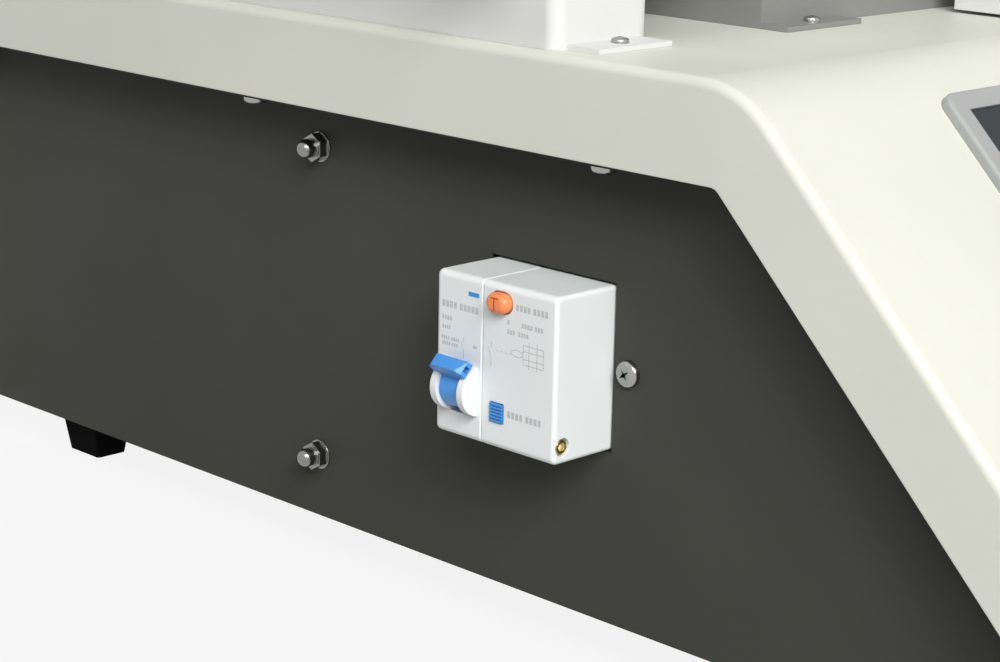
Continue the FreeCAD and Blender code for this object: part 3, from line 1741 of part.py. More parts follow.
def make_blowers():
    shaft = d.blower_shaft
    tall = d.blower_height
    bore_end = d.blower_seat + OVER
    profile = [
        (shaft + d.running_gap, 0),
        (d.blower_radius, 0),
        (d.blower_radius, tall, d.blower_round),
        (0, tall),
        (0, bore_end),
        (shaft + d.running_gap, bore_end),
    ]
    motor = turned_piece("blower_master", profile)
    seat = chamber_top + d.insulation
    spots = [copy_of(motor, x, d.belt_centre_y, seat) for x in (-d.blower_x, d.blower_x)]
    group("blower_motors", spots)
    for side, label in ((-1, "blower_impeller_left"), (1, "blower_impeller_right")):
        body = new_body(label)
        shaft_end = d.insulation + d.impeller_drop + d.blower_seat
        hub = [
            (0, -d.impeller_height),
            (d.impeller_hub, -d.impeller_height),
            (d.impeller_hub, 0),
            (d.impeller_radius, 0),
            (d.impeller_radius, d.impeller_plate),
            (shaft, d.impeller_plate),
            (shaft, shaft_end),
            (0, shaft_end),
        ]
        revolve(outline(draw_on(body, "XZ_Plane"), hub))
        blade = draw_on(body, "XY_Plane", d.impeller_plate / 2)
        inner = d.impeller_eye
        outer = d.impeller_radius - d.impeller_edge
        sweep = d.impeller_sweep / 2
        thick = d.impeller_blade
        outline(blade, [(inner, -sweep), (inner + thick, -sweep), (outer, sweep), (outer - thick, sweep)])
        around(body, pad(blade, d.impeller_height, way=-1), d.impeller_blades)
        place(body, side * d.blower_x, d.belt_centre_y, chamber_top - d.impeller_drop)
        node(body, label)


def make_exhausts():
    outer = d.exhaust_radius
    inner = outer - d.sheet
    brim = outer + d.exhaust_brim
    tall = d.exhaust_height
    profile = [
        (inner, 0),
        (brim, 0),
        (brim, d.sheet),
        (outer, d.sheet),
        (outer, tall),
        (inner, tall),
    ]
    body = turned_piece("exhaust_master", profile)
    spots = [copy_of(body, x, d.belt_centre_y, hood_top) for x in (-d.exhaust_x, d.exhaust_x)]
    group("exhaust_collars", spots)


def make_handles():
    body = new_body("handle_master")
    reach = d.handle_length / 2
    path = draw_on(body, "XY_Plane")
    far = -d.handle_reach
    bend = d.handle_bend
    points = [(-reach, 0), (-reach, far, bend), (reach, far, bend), (reach, 0)]
    outline(path, points, closed=False)
    section = draw_on(body, "XZ_Plane")
    circle(section, -reach, 0, d.handle_radius)
    pipe = body.newObject("PartDesign::AdditivePipe", "handle_bow")
    pipe.Profile = section
    pipe.Spine = path
    z = hood_low + d.handle_rise
    spots = [copy_of(body, x, -d.hood_front, z) for x in (-d.handle_x, d.handle_x)]
    group("hood_handles", spots)


def make_hinges():
    """Two butt hinges behind the hood: a fixed ear pair, a pin and a leaf on the hood."""
    r = d.hinge_radius
    third = d.hinge_length / 3
    ear = third - d.seat_gap
    pin = d.hinge_pin
    fixed = new_body("hinge_base_master")
    foot = draw_on(fixed, "YZ_Plane")
    rectangle(foot, -r, r, -d.hinge_rise, -d.hinge_rise + d.sheet)
    pad(foot, d.hinge_length, both=True)
    for side in (-1, 1):
        knuckle = draw_on(fixed, "YZ_Plane", side * d.hinge_length / 2)
        low = -d.hinge_rise
        soft = r - d.hole_gap
        outline(knuckle, [(-r, low), (r, low), (r, r, soft), (-r, r, soft)])
        pad(knuckle, ear, way=-side)
    bore = draw_on(fixed, "YZ_Plane")
    circle(bore, 0, 0, pin + d.running_gap)
    pocket(bore, d.hinge_length + 2 * OVER, both=True)
    leaf = new_body("hinge_leaf_master")
    barrel = draw_on(leaf, "YZ_Plane")
    circle(barrel, 0, 0, r)
    pad(barrel, third - d.seat_gap, both=True)
    plate = draw_on(leaf, "YZ_Plane")
    wall = d.hood_back - hinge_y
    rectangle(plate, wall, wall + d.sheet, 0, d.hinge_leaf)
    pad(plate, third - d.seat_gap, both=True)
    web = draw_on(leaf, "YZ_Plane")
    rectangle(web, wall + d.sheet / 2, -r / 2, 0, d.sheet * 1.5)
    pad(web, third - d.seat_gap, both=True)
    hole = draw_on(leaf, "YZ_Plane")
    circle(hole, 0, 0, pin + d.running_gap)
    pocket(hole, d.hinge_length, both=True)
    rod = new_body("hinge_pin_master")
    pad(circle(draw_on(rod, "YZ_Plane"), 0, 0, pin), d.hinge_length + d.seat_gap, both=True)
    ends = (-d.hinge_x, d.hinge_x)
    for label, master in (("hinge_bases", fixed), ("hinge_leaves", leaf), ("hinge_pins", rod)):
        group(label, [copy_of(master, x, hinge_y, hinge_z) for x in ends])


def make_mouth_fan():
    x = mouth_fan_x
    y = d.belt_centre_y
    node(place(fan_frame("cooling_fan_frame"), x, y, mouth_top), "cooling_fan_frame")
    node(place(fan_rotor("cooling_fan_rotor"), x, y, mouth_top), "cooling_fan_rotor")
    guard = new_body("cooling_fan_guard")
    wire = d.guard_wire
    for turn in (45, 135):
        bar = draw_on(guard, "XY_Plane", 0)
        bar_outline(bar, d.guard_reach, wire, math.radians(turn))
        pad(bar, wire)
    for i in range(int(d.guard_rings.value)):
        radius = d.guard_pitch * (i + 1)
        ring = draw_on(guard, "XY_Plane", 0)
        circle(ring, 0, 0, radius + wire / 2)
        circle(ring, 0, 0, radius - wire / 2)
        pad(ring, wire)
    place(guard, x, y, mouth_top + d.fan_depth)
    node(guard, "cooling_fan_guard")


def bar_outline(drawing, reach, thick, turn):
    """A straight bar through the centre at an angle."""
    along = (math.cos(turn), math.sin(turn))
    points = []
    for a, b in ((-1, -1), (1, -1), (1, 1), (-1, 1)):
        x = reach * (a * along[0]) - b * thick / 2 * along[1]
        y = reach * (a * along[1]) + b * thick / 2 * along[0]
        points.append((x, y))
    return outline(drawing, points)


def build():
    make_top_shell()
    make_bottom_plate()
    make_side_panel(-1)
    make_side_panel(1)
    make_rear_panel()
    make_feet()
    make_screws()
    make_cap_nuts()
    make_breaker_pole()
    make_leakage_module()
    make_eyelet()
    make_toggle()
    make_test_button()
    make_reset_button()
    make_breaker_rail()
    make_breaker_bracket()
    make_heatsink()
    make_relays()
    make_power_supply()
    make_control_board()
    make_cabinet_fan()
    make_gland()
    make_display()
    make_stop()
    make_stand(-1)
    make_stand(1)
    make_rail(-1)
    make_rail(1)
    make_bearings()
    make_roller("idler_roller", -1, 0)
    make_roller("drive_roller", 1, d.drive_shaft)
    make_belt()
    make_rods()
    make_drive()
    make_drive_cover()
    make_lower_chamber()
    make_lower_insulation()
    lower_places = spread(int(d.lower_heaters.value), d.heater_pitch * 4 / 3)
    make_heaters("lower", rail_inner, roller_z, lower_places)
    upper_places = spread(int(d.upper_heaters.value), d.heater_pitch)
    make_heaters("upper", d.tunnel_width / 2 - d.sheet, upper_heater_z, upper_places)
    make_hood()
    make_mouths()
    make_upper_chamber()
    make_upper_insulation()
    make_blowers()
    make_exhausts()
    make_handles()
    make_hinges()
    make_mouth_fan()


def hand_out():
    """Writes every sub-part once the whole document is sound."""
    doc.recompute()
    for thing in doc.Objects:
        if "Invalid" in thing.State or "Error" in thing.State:
            raise RuntimeError(f"{thing.Label} did not build")
    for thing in nodes:
        if thing.Shape.isNull() or not thing.Shape.isValid():
            raise RuntimeError(f"{thing.Label} has no sound shape")
    os.makedirs("parts", exist_ok=True)
    for thing in nodes:
        thing.Shape.exportStep(os.path.join("parts", f"{thing.Label}.step"))


build()
hand_out()
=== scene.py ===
# %% [markdown]
# # A bench-top conveyor reflow oven
# Circuit boards ride through this oven on a wire belt: in at one end, through a heated tunnel under a
# hinged hood, and out at the other end. The solid pieces come from the CAD model at their real size. This
# lesson gives them their finishes and adds what is too fine for solids: woven wire, screw recesses, heater
# coils and print.

# %% Load the solid model
import itertools
import json
import math

import bmesh
import bpy
from mathutils import Matrix, Vector
from mathutils.bvhtree import BVHTree


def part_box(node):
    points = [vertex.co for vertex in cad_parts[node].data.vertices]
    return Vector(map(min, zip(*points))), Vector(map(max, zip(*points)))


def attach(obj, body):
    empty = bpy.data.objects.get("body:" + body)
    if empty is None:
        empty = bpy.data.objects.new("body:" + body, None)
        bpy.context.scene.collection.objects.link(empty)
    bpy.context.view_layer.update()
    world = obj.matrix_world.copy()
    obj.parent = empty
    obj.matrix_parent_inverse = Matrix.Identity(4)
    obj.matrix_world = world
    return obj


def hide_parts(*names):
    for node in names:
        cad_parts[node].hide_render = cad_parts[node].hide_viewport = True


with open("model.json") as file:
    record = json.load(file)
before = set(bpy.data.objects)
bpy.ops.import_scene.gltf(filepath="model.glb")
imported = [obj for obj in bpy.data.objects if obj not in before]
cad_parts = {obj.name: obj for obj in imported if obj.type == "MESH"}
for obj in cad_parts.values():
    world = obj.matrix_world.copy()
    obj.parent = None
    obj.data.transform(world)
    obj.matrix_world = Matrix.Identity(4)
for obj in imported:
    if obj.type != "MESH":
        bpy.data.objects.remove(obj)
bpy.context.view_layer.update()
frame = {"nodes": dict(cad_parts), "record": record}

MM = 0.001
nodes = frame["nodes"]
slot_of = {part["node"]: part["material_slot"] for part in frame["record"]["subparts"]}
bodies = frame["record"]["behaviour"]["bodies"]
body_of = {name: body for body, names in bodies.items() for name in names}
print("solid pieces:", len(nodes), "bodies:", len(bodies))

# %% [markdown]
# ## The camera
# The photograph was taken close to the infeed end, a little above the cabinet, with a long lens. Its camera
# was worked out from the breaker's known size, so the place and the three turns below put the end panel and
# the breaker back where the photograph has them.

# %% Camera
PHOTO_WIDTH = 1000
FOCAL_PIXELS = 2392.94
SENSOR = 36
CAMERA_PLACE = Vector((-884.54, -473.01, 253.44)) * MM
YAW = math.radians(45.024)
PITCH = math.radians(14.591)
ROLL = math.radians(1.170)
NEAREST = 10 * MM


def new_object(name, data):
    """Puts a mesh, a camera or a lamp into the scene."""
    made = bpy.data.objects.new(name, data)
    bpy.context.scene.collection.objects.link(made)
    return made


def make_camera():
    ahead = Vector((math.cos(PITCH) * math.cos(YAW), math.cos(PITCH) * math.sin(YAW), -math.sin(PITCH)))
    level = Vector((math.sin(YAW), -math.cos(YAW), 0))
    above = level.cross(ahead)
    right = math.cos(ROLL) * level + math.sin(ROLL) * above
    up = math.cos(ROLL) * above - math.sin(ROLL) * level
    data = bpy.data.cameras.new("photo_camera")
    data.sensor_fit = "HORIZONTAL"
    data.sensor_width = SENSOR
    data.lens = FOCAL_PIXELS * SENSOR / PHOTO_WIDTH
    data.clip_start = NEAREST
    camera = new_object("photo_camera", data)
    turn = Matrix((right, up, -ahead)).transposed().to_4x4()
    camera.matrix_world = Matrix.Translation(CAMERA_PLACE) @ turn
    bpy.context.scene.camera = camera
    return data


print("lens:", round(make_camera().lens, 2), "mm")

# %% [markdown]
# ## Small helpers for node trees
# Materials and Geometry Nodes are both trees of nodes. One helper adds a node, sets its properties and
# links or sets its inputs, so that each recipe below reads from top to bottom like a list of steps.

# %% Helpers for node trees
NOISE_LOW = 0.3
NOISE_HIGH = 0.7


def add(tree, kind, inputs=None, **settings):
    made = tree.nodes.new(kind)
    for key, value in settings.items():
        setattr(made, key, value)
    for key, value in (inputs or {}).items():
        if isinstance(value, bpy.types.NodeSocket):
            tree.links.new(value, made.inputs[key])
        else:
            made.inputs[key].default_value = value
    return made


def math_node(tree, operation, first, second):
    return add(tree, "ShaderNodeMath", {0: first, 1: second}, operation=operation).outputs[0]


def spread_out(tree, value, low=NOISE_LOW, high=NOISE_HIGH, to_low=0.0, to_high=1.0):
    """Maps the values from low to high onto another stretch, and stops at its ends."""
    inputs = {"Value": value, "From Min": low, "From Max": high, "To Min": to_low, "To Max": to_high}
    return add(tree, "ShaderNodeMapRange", inputs).outputs["Result"]


def noise(tree, place, scale, detail=2.0, rough=0.5):
    inputs = {"Vector": place, "Scale": scale, "Detail": detail, "Roughness": rough}
    return add(tree, "ShaderNodeTexNoise", inputs).outputs["Fac"]


print("most noise lies from", NOISE_LOW, "to", NOISE_HIGH)

# %% [markdown]
# ## Effects that several finishes share
# Real paint, plastic and metal are never one flat value. Four shared groups hold what makes them look real:
# the peel and mottle of sprayed paint, the dust that settles on faces that look up, the fine lines that
# brushing leaves, and the smudges of handling. A group is built once and each finish sets its own amounts.

# %% Paint grain and settled dust
VECTOR = "NodeSocketVector"
NUMBER = "NodeSocketFloat"


def shader_group(name, inputs, outputs):
    tree = bpy.data.node_groups.new(name, "ShaderNodeTree")
    tree.interface.new_socket("Vector", in_out="INPUT", socket_type=VECTOR)
    for title, value in inputs.items():
        tree.interface.new_socket(title, in_out="INPUT", socket_type=NUMBER).default_value = value
    for title in outputs:
        tree.interface.new_socket(title, in_out="OUTPUT", socket_type=NUMBER)
    return tree, tree.nodes.new("NodeGroupInput").outputs, tree.nodes.new("NodeGroupOutput").inputs


def paint_grain_group():
    tree, given, out = shader_group("paint_grain", {"Peel Scale": 700.0}, ["Height", "Tone"])
    peel = noise(tree, given["Vector"], given["Peel Scale"])
    cloud = noise(tree, given["Vector"], scale=9.0, detail=4.0)
    tree.links.new(peel, out["Height"])
    tree.links.new(spread_out(tree, cloud), out["Tone"])
    return tree


def settled_dust_group():
    tree, given, out = shader_group("settled_dust", {"Up": 0.0, "Amount": 0.1}, ["Mask"])
    fine = noise(tree, given["Vector"], scale=420.0, detail=5.0, rough=0.7)
    broad = noise(tree, given["Vector"], scale=14.0, detail=3.0)
    specks = spread_out(tree, fine, low=0.45, high=0.8)
    drifts = spread_out(tree, broad, low=0.3, high=0.75)
    facing = spread_out(tree, given["Up"], low=0.2, high=1.0)
    lying = math_node(tree, "MULTIPLY", math_node(tree, "MULTIPLY", specks, drifts), facing)
    tree.links.new(math_node(tree, "MULTIPLY", lying, given["Amount"]), out["Mask"])
    return tree


GRAIN = paint_grain_group()
DUST = settled_dust_group()
print("shared groups:", GRAIN.name, DUST.name)

# %% Brushed lines and handling marks


def brushed_lines_group():
    tree, given, out = shader_group("brushed_lines", {"Fineness": 900.0}, ["Height", "Tone"])
    lines = noise(tree, given["Vector"], given["Fineness"], detail=3.0, rough=0.6)
    bands = noise(tree, given["Vector"], scale=60.0)
    tree.links.new(lines, out["Height"])
    tree.links.new(spread_out(tree, bands), out["Tone"])
    return tree


def handling_group():
    tree, given, out = shader_group("handling_marks", {"Amount": 0.1}, ["Mask"])
    blots = noise(tree, given["Vector"], scale=34.0, detail=5.0, rough=0.65)
    smudges = spread_out(tree, blots, low=0.42, high=0.75)
    tree.links.new(math_node(tree, "MULTIPLY", smudges, given["Amount"]), out["Mask"])
    return tree


BRUSHED = brushed_lines_group()
HANDLING = handling_group()
print("shared groups:", BRUSHED.name, HANDLING.name)

# %% [markdown]
# ## The finishes
# Each finish is one material with one Principled shader. The helpers below start a material, place a shared
# group in it, vary its colour, and lay fine relief over its faces. A perfectly sharp edge catches no light,
# so a Bevel node softens the shading there, as a folded or moulded edge does.

# %% Start a finish


def start_finish(name):
    material = bpy.data.materials.new(name)
    material.use_nodes = True
    tree = material.node_tree
    place = add(tree, "ShaderNodeTexCoord").outputs["Object"]
    return material, tree, tree.nodes["Principled BSDF"], place


def shared(tree, group, place, **values):
    used = add(tree, "ShaderNodeGroup", node_tree=group)
    tree.links.new(place, used.inputs["Vector"])
    for title, value in values.items():
        socket = used.inputs[title.replace("_", " ").title()]
        if isinstance(value, bpy.types.NodeSocket):
            tree.links.new(value, socket)
        else:
            socket.default_value = value
    return used.outputs


print("a finish can use:", GRAIN.name, DUST.name, BRUSHED.name, HANDLING.name)

# %% Colours of a finish


def mixed(tree, factor, first, second):
    """A colour between two colours."""
    inputs = {0: factor, 6: first, 7: second}
    return add(tree, "ShaderNodeMix", inputs, data_type="RGBA").outputs[2]


def shade(colour, amount):
    return tuple(channel * amount for channel in colour) + (1,)


def varied(tree, factor, colour, darkest, lightest):
    """A colour that drifts between two shades of itself."""
    return mixed(tree, factor, shade(colour, darkest), shade(colour, lightest))


print("white at half its brightness:", shade((1, 1, 1), 0.5))

# %% Patterns, relief and dust
FOLDED_EDGE = 0.5 * MM
DUST_COLOUR = (0.42, 0.4, 0.36, 1)


def stretched(tree, place, amounts):
    """Places for a pattern that is drawn out along the axis with the lowest amount."""
    return add(tree, "ShaderNodeMapping", {"Vector": place, "Scale": amounts}).outputs[0]


def relief(tree, shader, height, strength, depth, softness=FOLDED_EDGE):
    """Fine relief over softened edges."""
    bump = add(tree, "ShaderNodeBump", {"Height": height, "Strength": strength, "Distance": depth})
    if softness:
        soft = add(tree, "ShaderNodeBevel", {"Radius": softness}, samples=4)
        tree.links.new(soft.outputs["Normal"], bump.inputs["Normal"])
    tree.links.new(bump.outputs["Normal"], shader.inputs["Normal"])


def dusty(tree, place, amount):
    up = add(tree, "ShaderNodeNewGeometry").outputs["Normal"]
    height = add(tree, "ShaderNodeSeparateXYZ", {0: up}).outputs["Z"]
    return shared(tree, DUST, place, up=height, amount=amount)["Mask"]


print("folded edges are softened over", round(FOLDED_EDGE / MM, 2), "mm")

# %% [markdown]
# ## Paint
# The cover, the hood and the tunnel boxes are powder coated sheet. The powder melts to a skin with a fine
# peel, its tone drifts a little, and dust lies on faces that look up. One flat colour would look like card,
# so the three are mixed. Sheen is how much the skin mirrors: the dark end panel is nearly matt, the cream
# cover less so.

# %% Painted sheet metal


def painted(name, colour, roughness, peel_scale=700.0, peel=0.08, dust=0.1, variety=0.04, sheen=0.5):
    material, tree, shader, place = start_finish(name)
    shader.inputs["Specular IOR Level"].default_value = sheen
    grain = shared(tree, GRAIN, place, peel_scale=peel_scale)
    body = varied(tree, grain["Tone"], colour, 1 - variety, 1 + variety)
    film = dusty(tree, place, dust)
    tree.links.new(mixed(tree, film, body, DUST_COLOUR), shader.inputs["Base Color"])
    marks = shared(tree, HANDLING, place, amount=0.12)["Mask"]
    gloss = math_node(tree, "ADD", marks, roughness)
    tree.links.new(math_node(tree, "ADD", gloss, film), shader.inputs["Roughness"])
    relief(tree, shader, grain["Height"], strength=peel, depth=0.3 * MM)
    return material


SMOOTH = {"peel_scale": 620.0, "peel": 0.06}
COARSE = {"peel_scale": 900.0, "peel": 0.1}
CHARCOAL = {"peel_scale": 1500.0, "peel": 0.12, "dust": 0.16, "variety": 0.1, "sheen": 0.05}
FINISHES = {
    "cream_paint": painted("cream_powder_coat", (0.67, 0.675, 0.6), roughness=0.42, sheen=0.3, **SMOOTH),
    "dark_paint": painted("charcoal_powder_coat", (0.059, 0.059, 0.051), roughness=0.38, **CHARCOAL),
    "white_paint": painted("white_powder_coat", (0.69, 0.695, 0.67), roughness=0.6, sheen=0.1, **SMOOTH),
    "grey_paint": painted("grey_coated_sheet", (0.225, 0.225, 0.213), roughness=0.42, **COARSE),
}
print("paints:", list(FINISHES))

# %% [markdown]
# ## Bare metal
# Rollers, rails, collars and fasteners are bare. Rolling and drawing leave fine lines along the way that
# the metal went, so the pattern is stretched along that way, and the lines change the gloss as well as the
# relief.

# %% Bare metal
ALONG_X = (0.02, 1, 1)
ALONG_Y = (1, 0.02, 1)
NO_WAY = (1, 1, 1)


def bare_metal(name, colour, roughness, stretch=NO_WAY, lines=0.1, variety=0.08, softness=FOLDED_EDGE):
    """Stretch is how fine the lines are along each axis: low along the way of brushing."""
    material, tree, shader, place = start_finish(name)
    shader.inputs["Metallic"].default_value = 1.0
    brushed = shared(tree, BRUSHED, stretched(tree, place, stretch))
    tone = varied(tree, brushed["Tone"], colour, 1 - variety, 1 + variety)
    tree.links.new(tone, shader.inputs["Base Color"])
    marks = shared(tree, HANDLING, place, amount=0.15)["Mask"]
    grip = spread_out(tree, brushed["Height"], to_low=roughness * 0.75, to_high=roughness * 1.25)
    tree.links.new(math_node(tree, "ADD", grip, marks), shader.inputs["Roughness"])
    relief(tree, shader, brushed["Height"], strength=lines, depth=0.1 * MM, softness=softness)
    return material


ROLLED = {"stretch": ALONG_Y, "lines": 0.12}
DRAWN = {"stretch": ALONG_X, "lines": 0.15}
METALS = {
    "bright_zinc": bare_metal("bright_zinc_plate", (0.27, 0.27, 0.262), roughness=0.18, lines=0.05),
    "yellow_brass": bare_metal("yellow_brass", (0.7, 0.5, 0.18), roughness=0.25, lines=0.05),
    "bright_steel": bare_metal("bright_steel", (0.58, 0.57, 0.55), roughness=0.32, **ROLLED),
    "plain_aluminium": bare_metal("drawn_aluminium", (0.72, 0.72, 0.72), roughness=0.34, **DRAWN),
}
FINISHES.update(METALS)
print("metals:", list(METALS))

# %% [markdown]
# ## Plastic, rubber and ceramic
# The breaker, the buttons, the handles and the feet are moulded. A mould leaves a fine even grain and
# slightly rounded edges. Buttons are glossier than cases, so some get a clear coat, and rubber hardly
# mirrors at all.

# %% Moulded pieces
MOULDED_EDGE = 0.35 * MM


def moulded(name, colour, roughness, grain_scale=2400.0, grain=0.05, dust=0.06, coat=0.0, sheen=0.5):
    material, tree, shader, place = start_finish(name)
    shader.inputs["Specular IOR Level"].default_value = sheen
    shader.inputs["Coat Weight"].default_value = coat
    texture = shared(tree, GRAIN, place, peel_scale=grain_scale)
    body = varied(tree, texture["Tone"], colour, darkest=0.95, lightest=1.04)
    film = dusty(tree, place, dust)
    tree.links.new(mixed(tree, film, body, DUST_COLOUR), shader.inputs["Base Color"])
    marks = shared(tree, HANDLING, place, amount=0.1)["Mask"]
    tree.links.new(math_node(tree, "ADD", marks, roughness), shader.inputs["Roughness"])
    relief(tree, shader, texture["Height"], strength=grain, depth=0.08 * MM, softness=MOULDED_EDGE)
    return material


CASE = {"grain_scale": 2600.0, "grain": 0.06, "dust": 0.03}
FOOT = {"grain_scale": 1500.0, "grain": 0.2, "sheen": 0.03}
BEZEL = {"grain_scale": 2000.0, "grain": 0.1}
FIRED = {"grain_scale": 1200.0, "grain": 0.2, "dust": 0.05}
HANDLE = {"grain_scale": 1800.0, "grain": 0.12, "dust": 0.2}
MOULDINGS = {
    "black_rubber": moulded("black_rubber", (0.005, 0.005, 0.005), roughness=0.75, **FOOT),
    "breaker_white": moulded("breaker_white_plastic", (0.8, 0.835, 0.83), roughness=0.42, **CASE),
    "orange_plastic": moulded("orange_button_plastic", (0.9, 0.265, 0.09), roughness=0.36, dust=0.02),
    "blue_plastic": moulded("blue_lever_plastic", (0.065, 0.29, 0.72), roughness=0.34, dust=0.02),
    "bezel_grey": moulded("bezel_grey_plastic", (0.34, 0.345, 0.34), roughness=0.45, **BEZEL),
    "red_plastic": moulded("red_button_plastic", (0.55, 0.016, 0.014), roughness=0.28, coat=0.3),
    "yellow_plastic": moulded("yellow_collar_plastic", (0.78, 0.48, 0.02), roughness=0.4),
    "white_ceramic": moulded("white_ceramic", (0.74, 0.72, 0.66), roughness=0.6, **FIRED),
    "black_plastic": moulded("black_moulded_plastic", (0.018, 0.018, 0.019), roughness=0.5, **HANDLE),
    "green_board": moulded("green_board", (0.012, 0.14, 0.05), roughness=0.35, coat=0.3),
}
FINISHES.update(MOULDINGS)
print("mouldings:", list(MOULDINGS))

# %% [markdown]
# ## Fibre board, quartz and glass
# The tunnel is lined with ceramic fibre board, which is dull and wispy. The heaters are tubes of milky
# quartz: light goes through them, blurred by streaks from drawing. The display's window is dark glass with
# a few smudges.

# %% Fibre board
WISPS = (0.35, 1, 1)


def fibrous(name, colour):
    material, tree, shader, place = start_finish(name)
    strands = noise(tree, stretched(tree, place, WISPS), scale=900.0, detail=6.0, rough=0.7)
    clumps = noise(tree, place, scale=70.0, detail=4.0)
    body = varied(tree, spread_out(tree, clumps), colour, darkest=0.82, lightest=1.06)
    tree.links.new(body, shader.inputs["Base Color"])
    shader.inputs["Roughness"].default_value = 0.95
    height = math_node(tree, "ADD", strands, clumps)
    relief(tree, shader, height, strength=0.6, depth=0.8 * MM, softness=0)
    return material


FINISHES["fibre_board"] = fibrous("ceramic_fibre_board", (0.74, 0.71, 0.64))
print("finishes so far:", len(FINISHES))

# %% Quartz and screen glass
STREAKS = (1, 0.05, 1)


def quartz(name, colour):
    material, tree, shader, place = start_finish(name)
    shader.inputs["Base Color"].default_value = colour + (1,)
    shader.inputs["Transmission Weight"].default_value = 0.85
    shader.inputs["IOR"].default_value = 1.46
    milk = noise(tree, stretched(tree, place, STREAKS), scale=500.0)
    tree.links.new(spread_out(tree, milk, to_low=0.12, to_high=0.3), shader.inputs["Roughness"])
    return material


def screen_glass(name, colour):
    material, tree, shader, place = start_finish(name)
    shader.inputs["Base Color"].default_value = colour + (1,)
    shader.inputs["Specular IOR Level"].default_value = 0.2
    marks = shared(tree, HANDLING, place, amount=0.12)["Mask"]
    tree.links.new(math_node(tree, "ADD", marks, 0.06), shader.inputs["Roughness"])
    return material


FINISHES["quartz_glass"] = quartz("milky_quartz", (0.93, 0.92, 0.9))
FINISHES["dark_glass"] = screen_glass("dark_screen_glass", (0.014, 0.019, 0.022))
print("finishes:", len(FINISHES))

# %% [markdown]
# In the CAD model each solid names a material slot, such as bright_zinc. The slot's finish becomes the
# solid's only material, so pieces of one kind share one material and change together.

# %% Give each solid its finish
for name, solid in nodes.items():
    solid.data.materials.clear()
    solid.data.materials.append(FINISHES[slot_of[name]])
print("solids with a finish:", len(nodes))

# %% [markdown]
# ## Pieces that Geometry Nodes grow
# Screws, wires and coils are one small shape, repeated many times. Each could be copied by hand, but a
# Geometry Nodes tree keeps the sizes as named inputs and puts the copies on points that come from the CAD
# model. The copies are made real at the end of the tree, so that the result is a plain mesh that rides on
# its body.

# %% Helpers to build a tree
SHAPE = "NodeSocketGeometry"
WHOLE = "NodeSocketInt"


def start_tree(name, sizes):
    """A tree that takes points, and one named input for each size."""
    tree = bpy.data.node_groups.new(name, "GeometryNodeTree")
    tree.is_modifier = True
    tree.interface.new_socket("Geometry", in_out="INPUT", socket_type=SHAPE)
    for title, value in sizes.items():
        kind = WHOLE if isinstance(value, int) else NUMBER
        tree.interface.new_socket(title, in_out="INPUT", socket_type=kind).default_value = value
    tree.interface.new_socket("Geometry", in_out="OUTPUT", socket_type=SHAPE)
    return tree, tree.nodes.new("NodeGroupInput").outputs


def noted(tree, title):
    """The vector that a point carries under a title."""
    kind = "GeometryNodeInputNamedAttribute"
    return add(tree, kind, {"Name": title}, data_type="FLOAT_VECTOR").outputs[0]


def xyz(tree, x=0.0, y=0.0, z=0.0):
    return add(tree, "ShaderNodeCombineXYZ", {0: x, 1: y, 2: z}).outputs[0]


def moved(tree, shape, place=(0, 0, 0), turn=(0, 0, 0), scale=(1, 1, 1)):
    inputs = {"Geometry": shape, "Translation": place, "Rotation": turn, "Scale": scale}
    return add(tree, "GeometryNodeTransform", inputs).outputs[0]


def copies(tree, points, shape, **inputs):
    names = {"Points": points, "Instance": shape, **inputs}
    return add(tree, "GeometryNodeInstanceOnPoints", names).outputs[0]


def end_tree(tree, shapes, finish):
    """Joins the shapes, makes their copies real and gives them a finish."""
    joined = add(tree, "GeometryNodeJoinGeometry")
    for shape in shapes:
        tree.links.new(shape, joined.inputs[0])
    real = add(tree, "GeometryNodeRealizeInstances", {0: joined.outputs[0]}).outputs[0]
    done = add(tree, "GeometryNodeSetMaterial", {"Geometry": real, "Material": finish}).outputs[0]
    tree.links.new(done, tree.nodes.new("NodeGroupOutput").inputs[0])
    return tree


print("kinds of size:", NUMBER, WHOLE)

# %% Helpers to grow a piece and settle it
SHARP = math.radians(38)
ALL_ROUND = math.pi


def points_mesh(places, edges=(), **notes):
    """Loose points. Each note, such as the way that a copy looks, gives every point a vector of its own."""
    mesh = bpy.data.meshes.new("points")
    mesh.from_pydata(places, edges, [])
    for title, vectors in notes.items():
        note = mesh.attributes.new(title, "FLOAT_VECTOR", "POINT")
        for mark, vector in zip(note.data, vectors):
            mark.vector = vector
    return mesh


def grow(name, tree, points, sizes=None):
    """Runs a tree on points and keeps the result as a plain mesh with one finish."""
    piece = new_object(name, points)
    modifier = piece.modifiers.new("grow", "NODES")
    modifier.node_group = tree
    for socket in tree.interface.items_tree:
        if socket.in_out == "INPUT" and socket.name in (sizes or {}):
            modifier[socket.identifier] = sizes[socket.name]
    grown = piece.evaluated_get(bpy.context.evaluated_depsgraph_get())
    mesh = bpy.data.meshes.new_from_object(grown)
    finish = mesh.materials[-1]
    mesh.materials.clear()
    mesh.materials.append(finish)
    mesh.polygons.foreach_set("material_index", [0] * len(mesh.polygons))
    piece.modifiers.remove(modifier)
    piece.data = mesh
    mesh.name = name
    return piece


def settle(piece, body, stands_for=(), sharp=SHARP):
    """Lets a finished piece ride on its body, and hides the plain solids that it stands for."""
    piece.data.shade_smooth()
    piece.data.set_sharp_from_angle(angle=sharp)
    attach(piece, body)
    if stands_for:
        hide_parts(*stands_for)
    piece.data.calc_loop_triangles()
    print(piece.name, "on", body, "with", len(piece.data.loop_triangles), "triangles")


print("edges over", round(math.degrees(SHARP)), "degrees stay sharp")

# %% [markdown]
# The CAD model keeps repeated fasteners and heaters as separate solids in one node. The boxes of these
# solids say where each copy goes, so no place is written twice.

# %% Where the repeated solids are
SAME_PLACE = 0.001 * MM


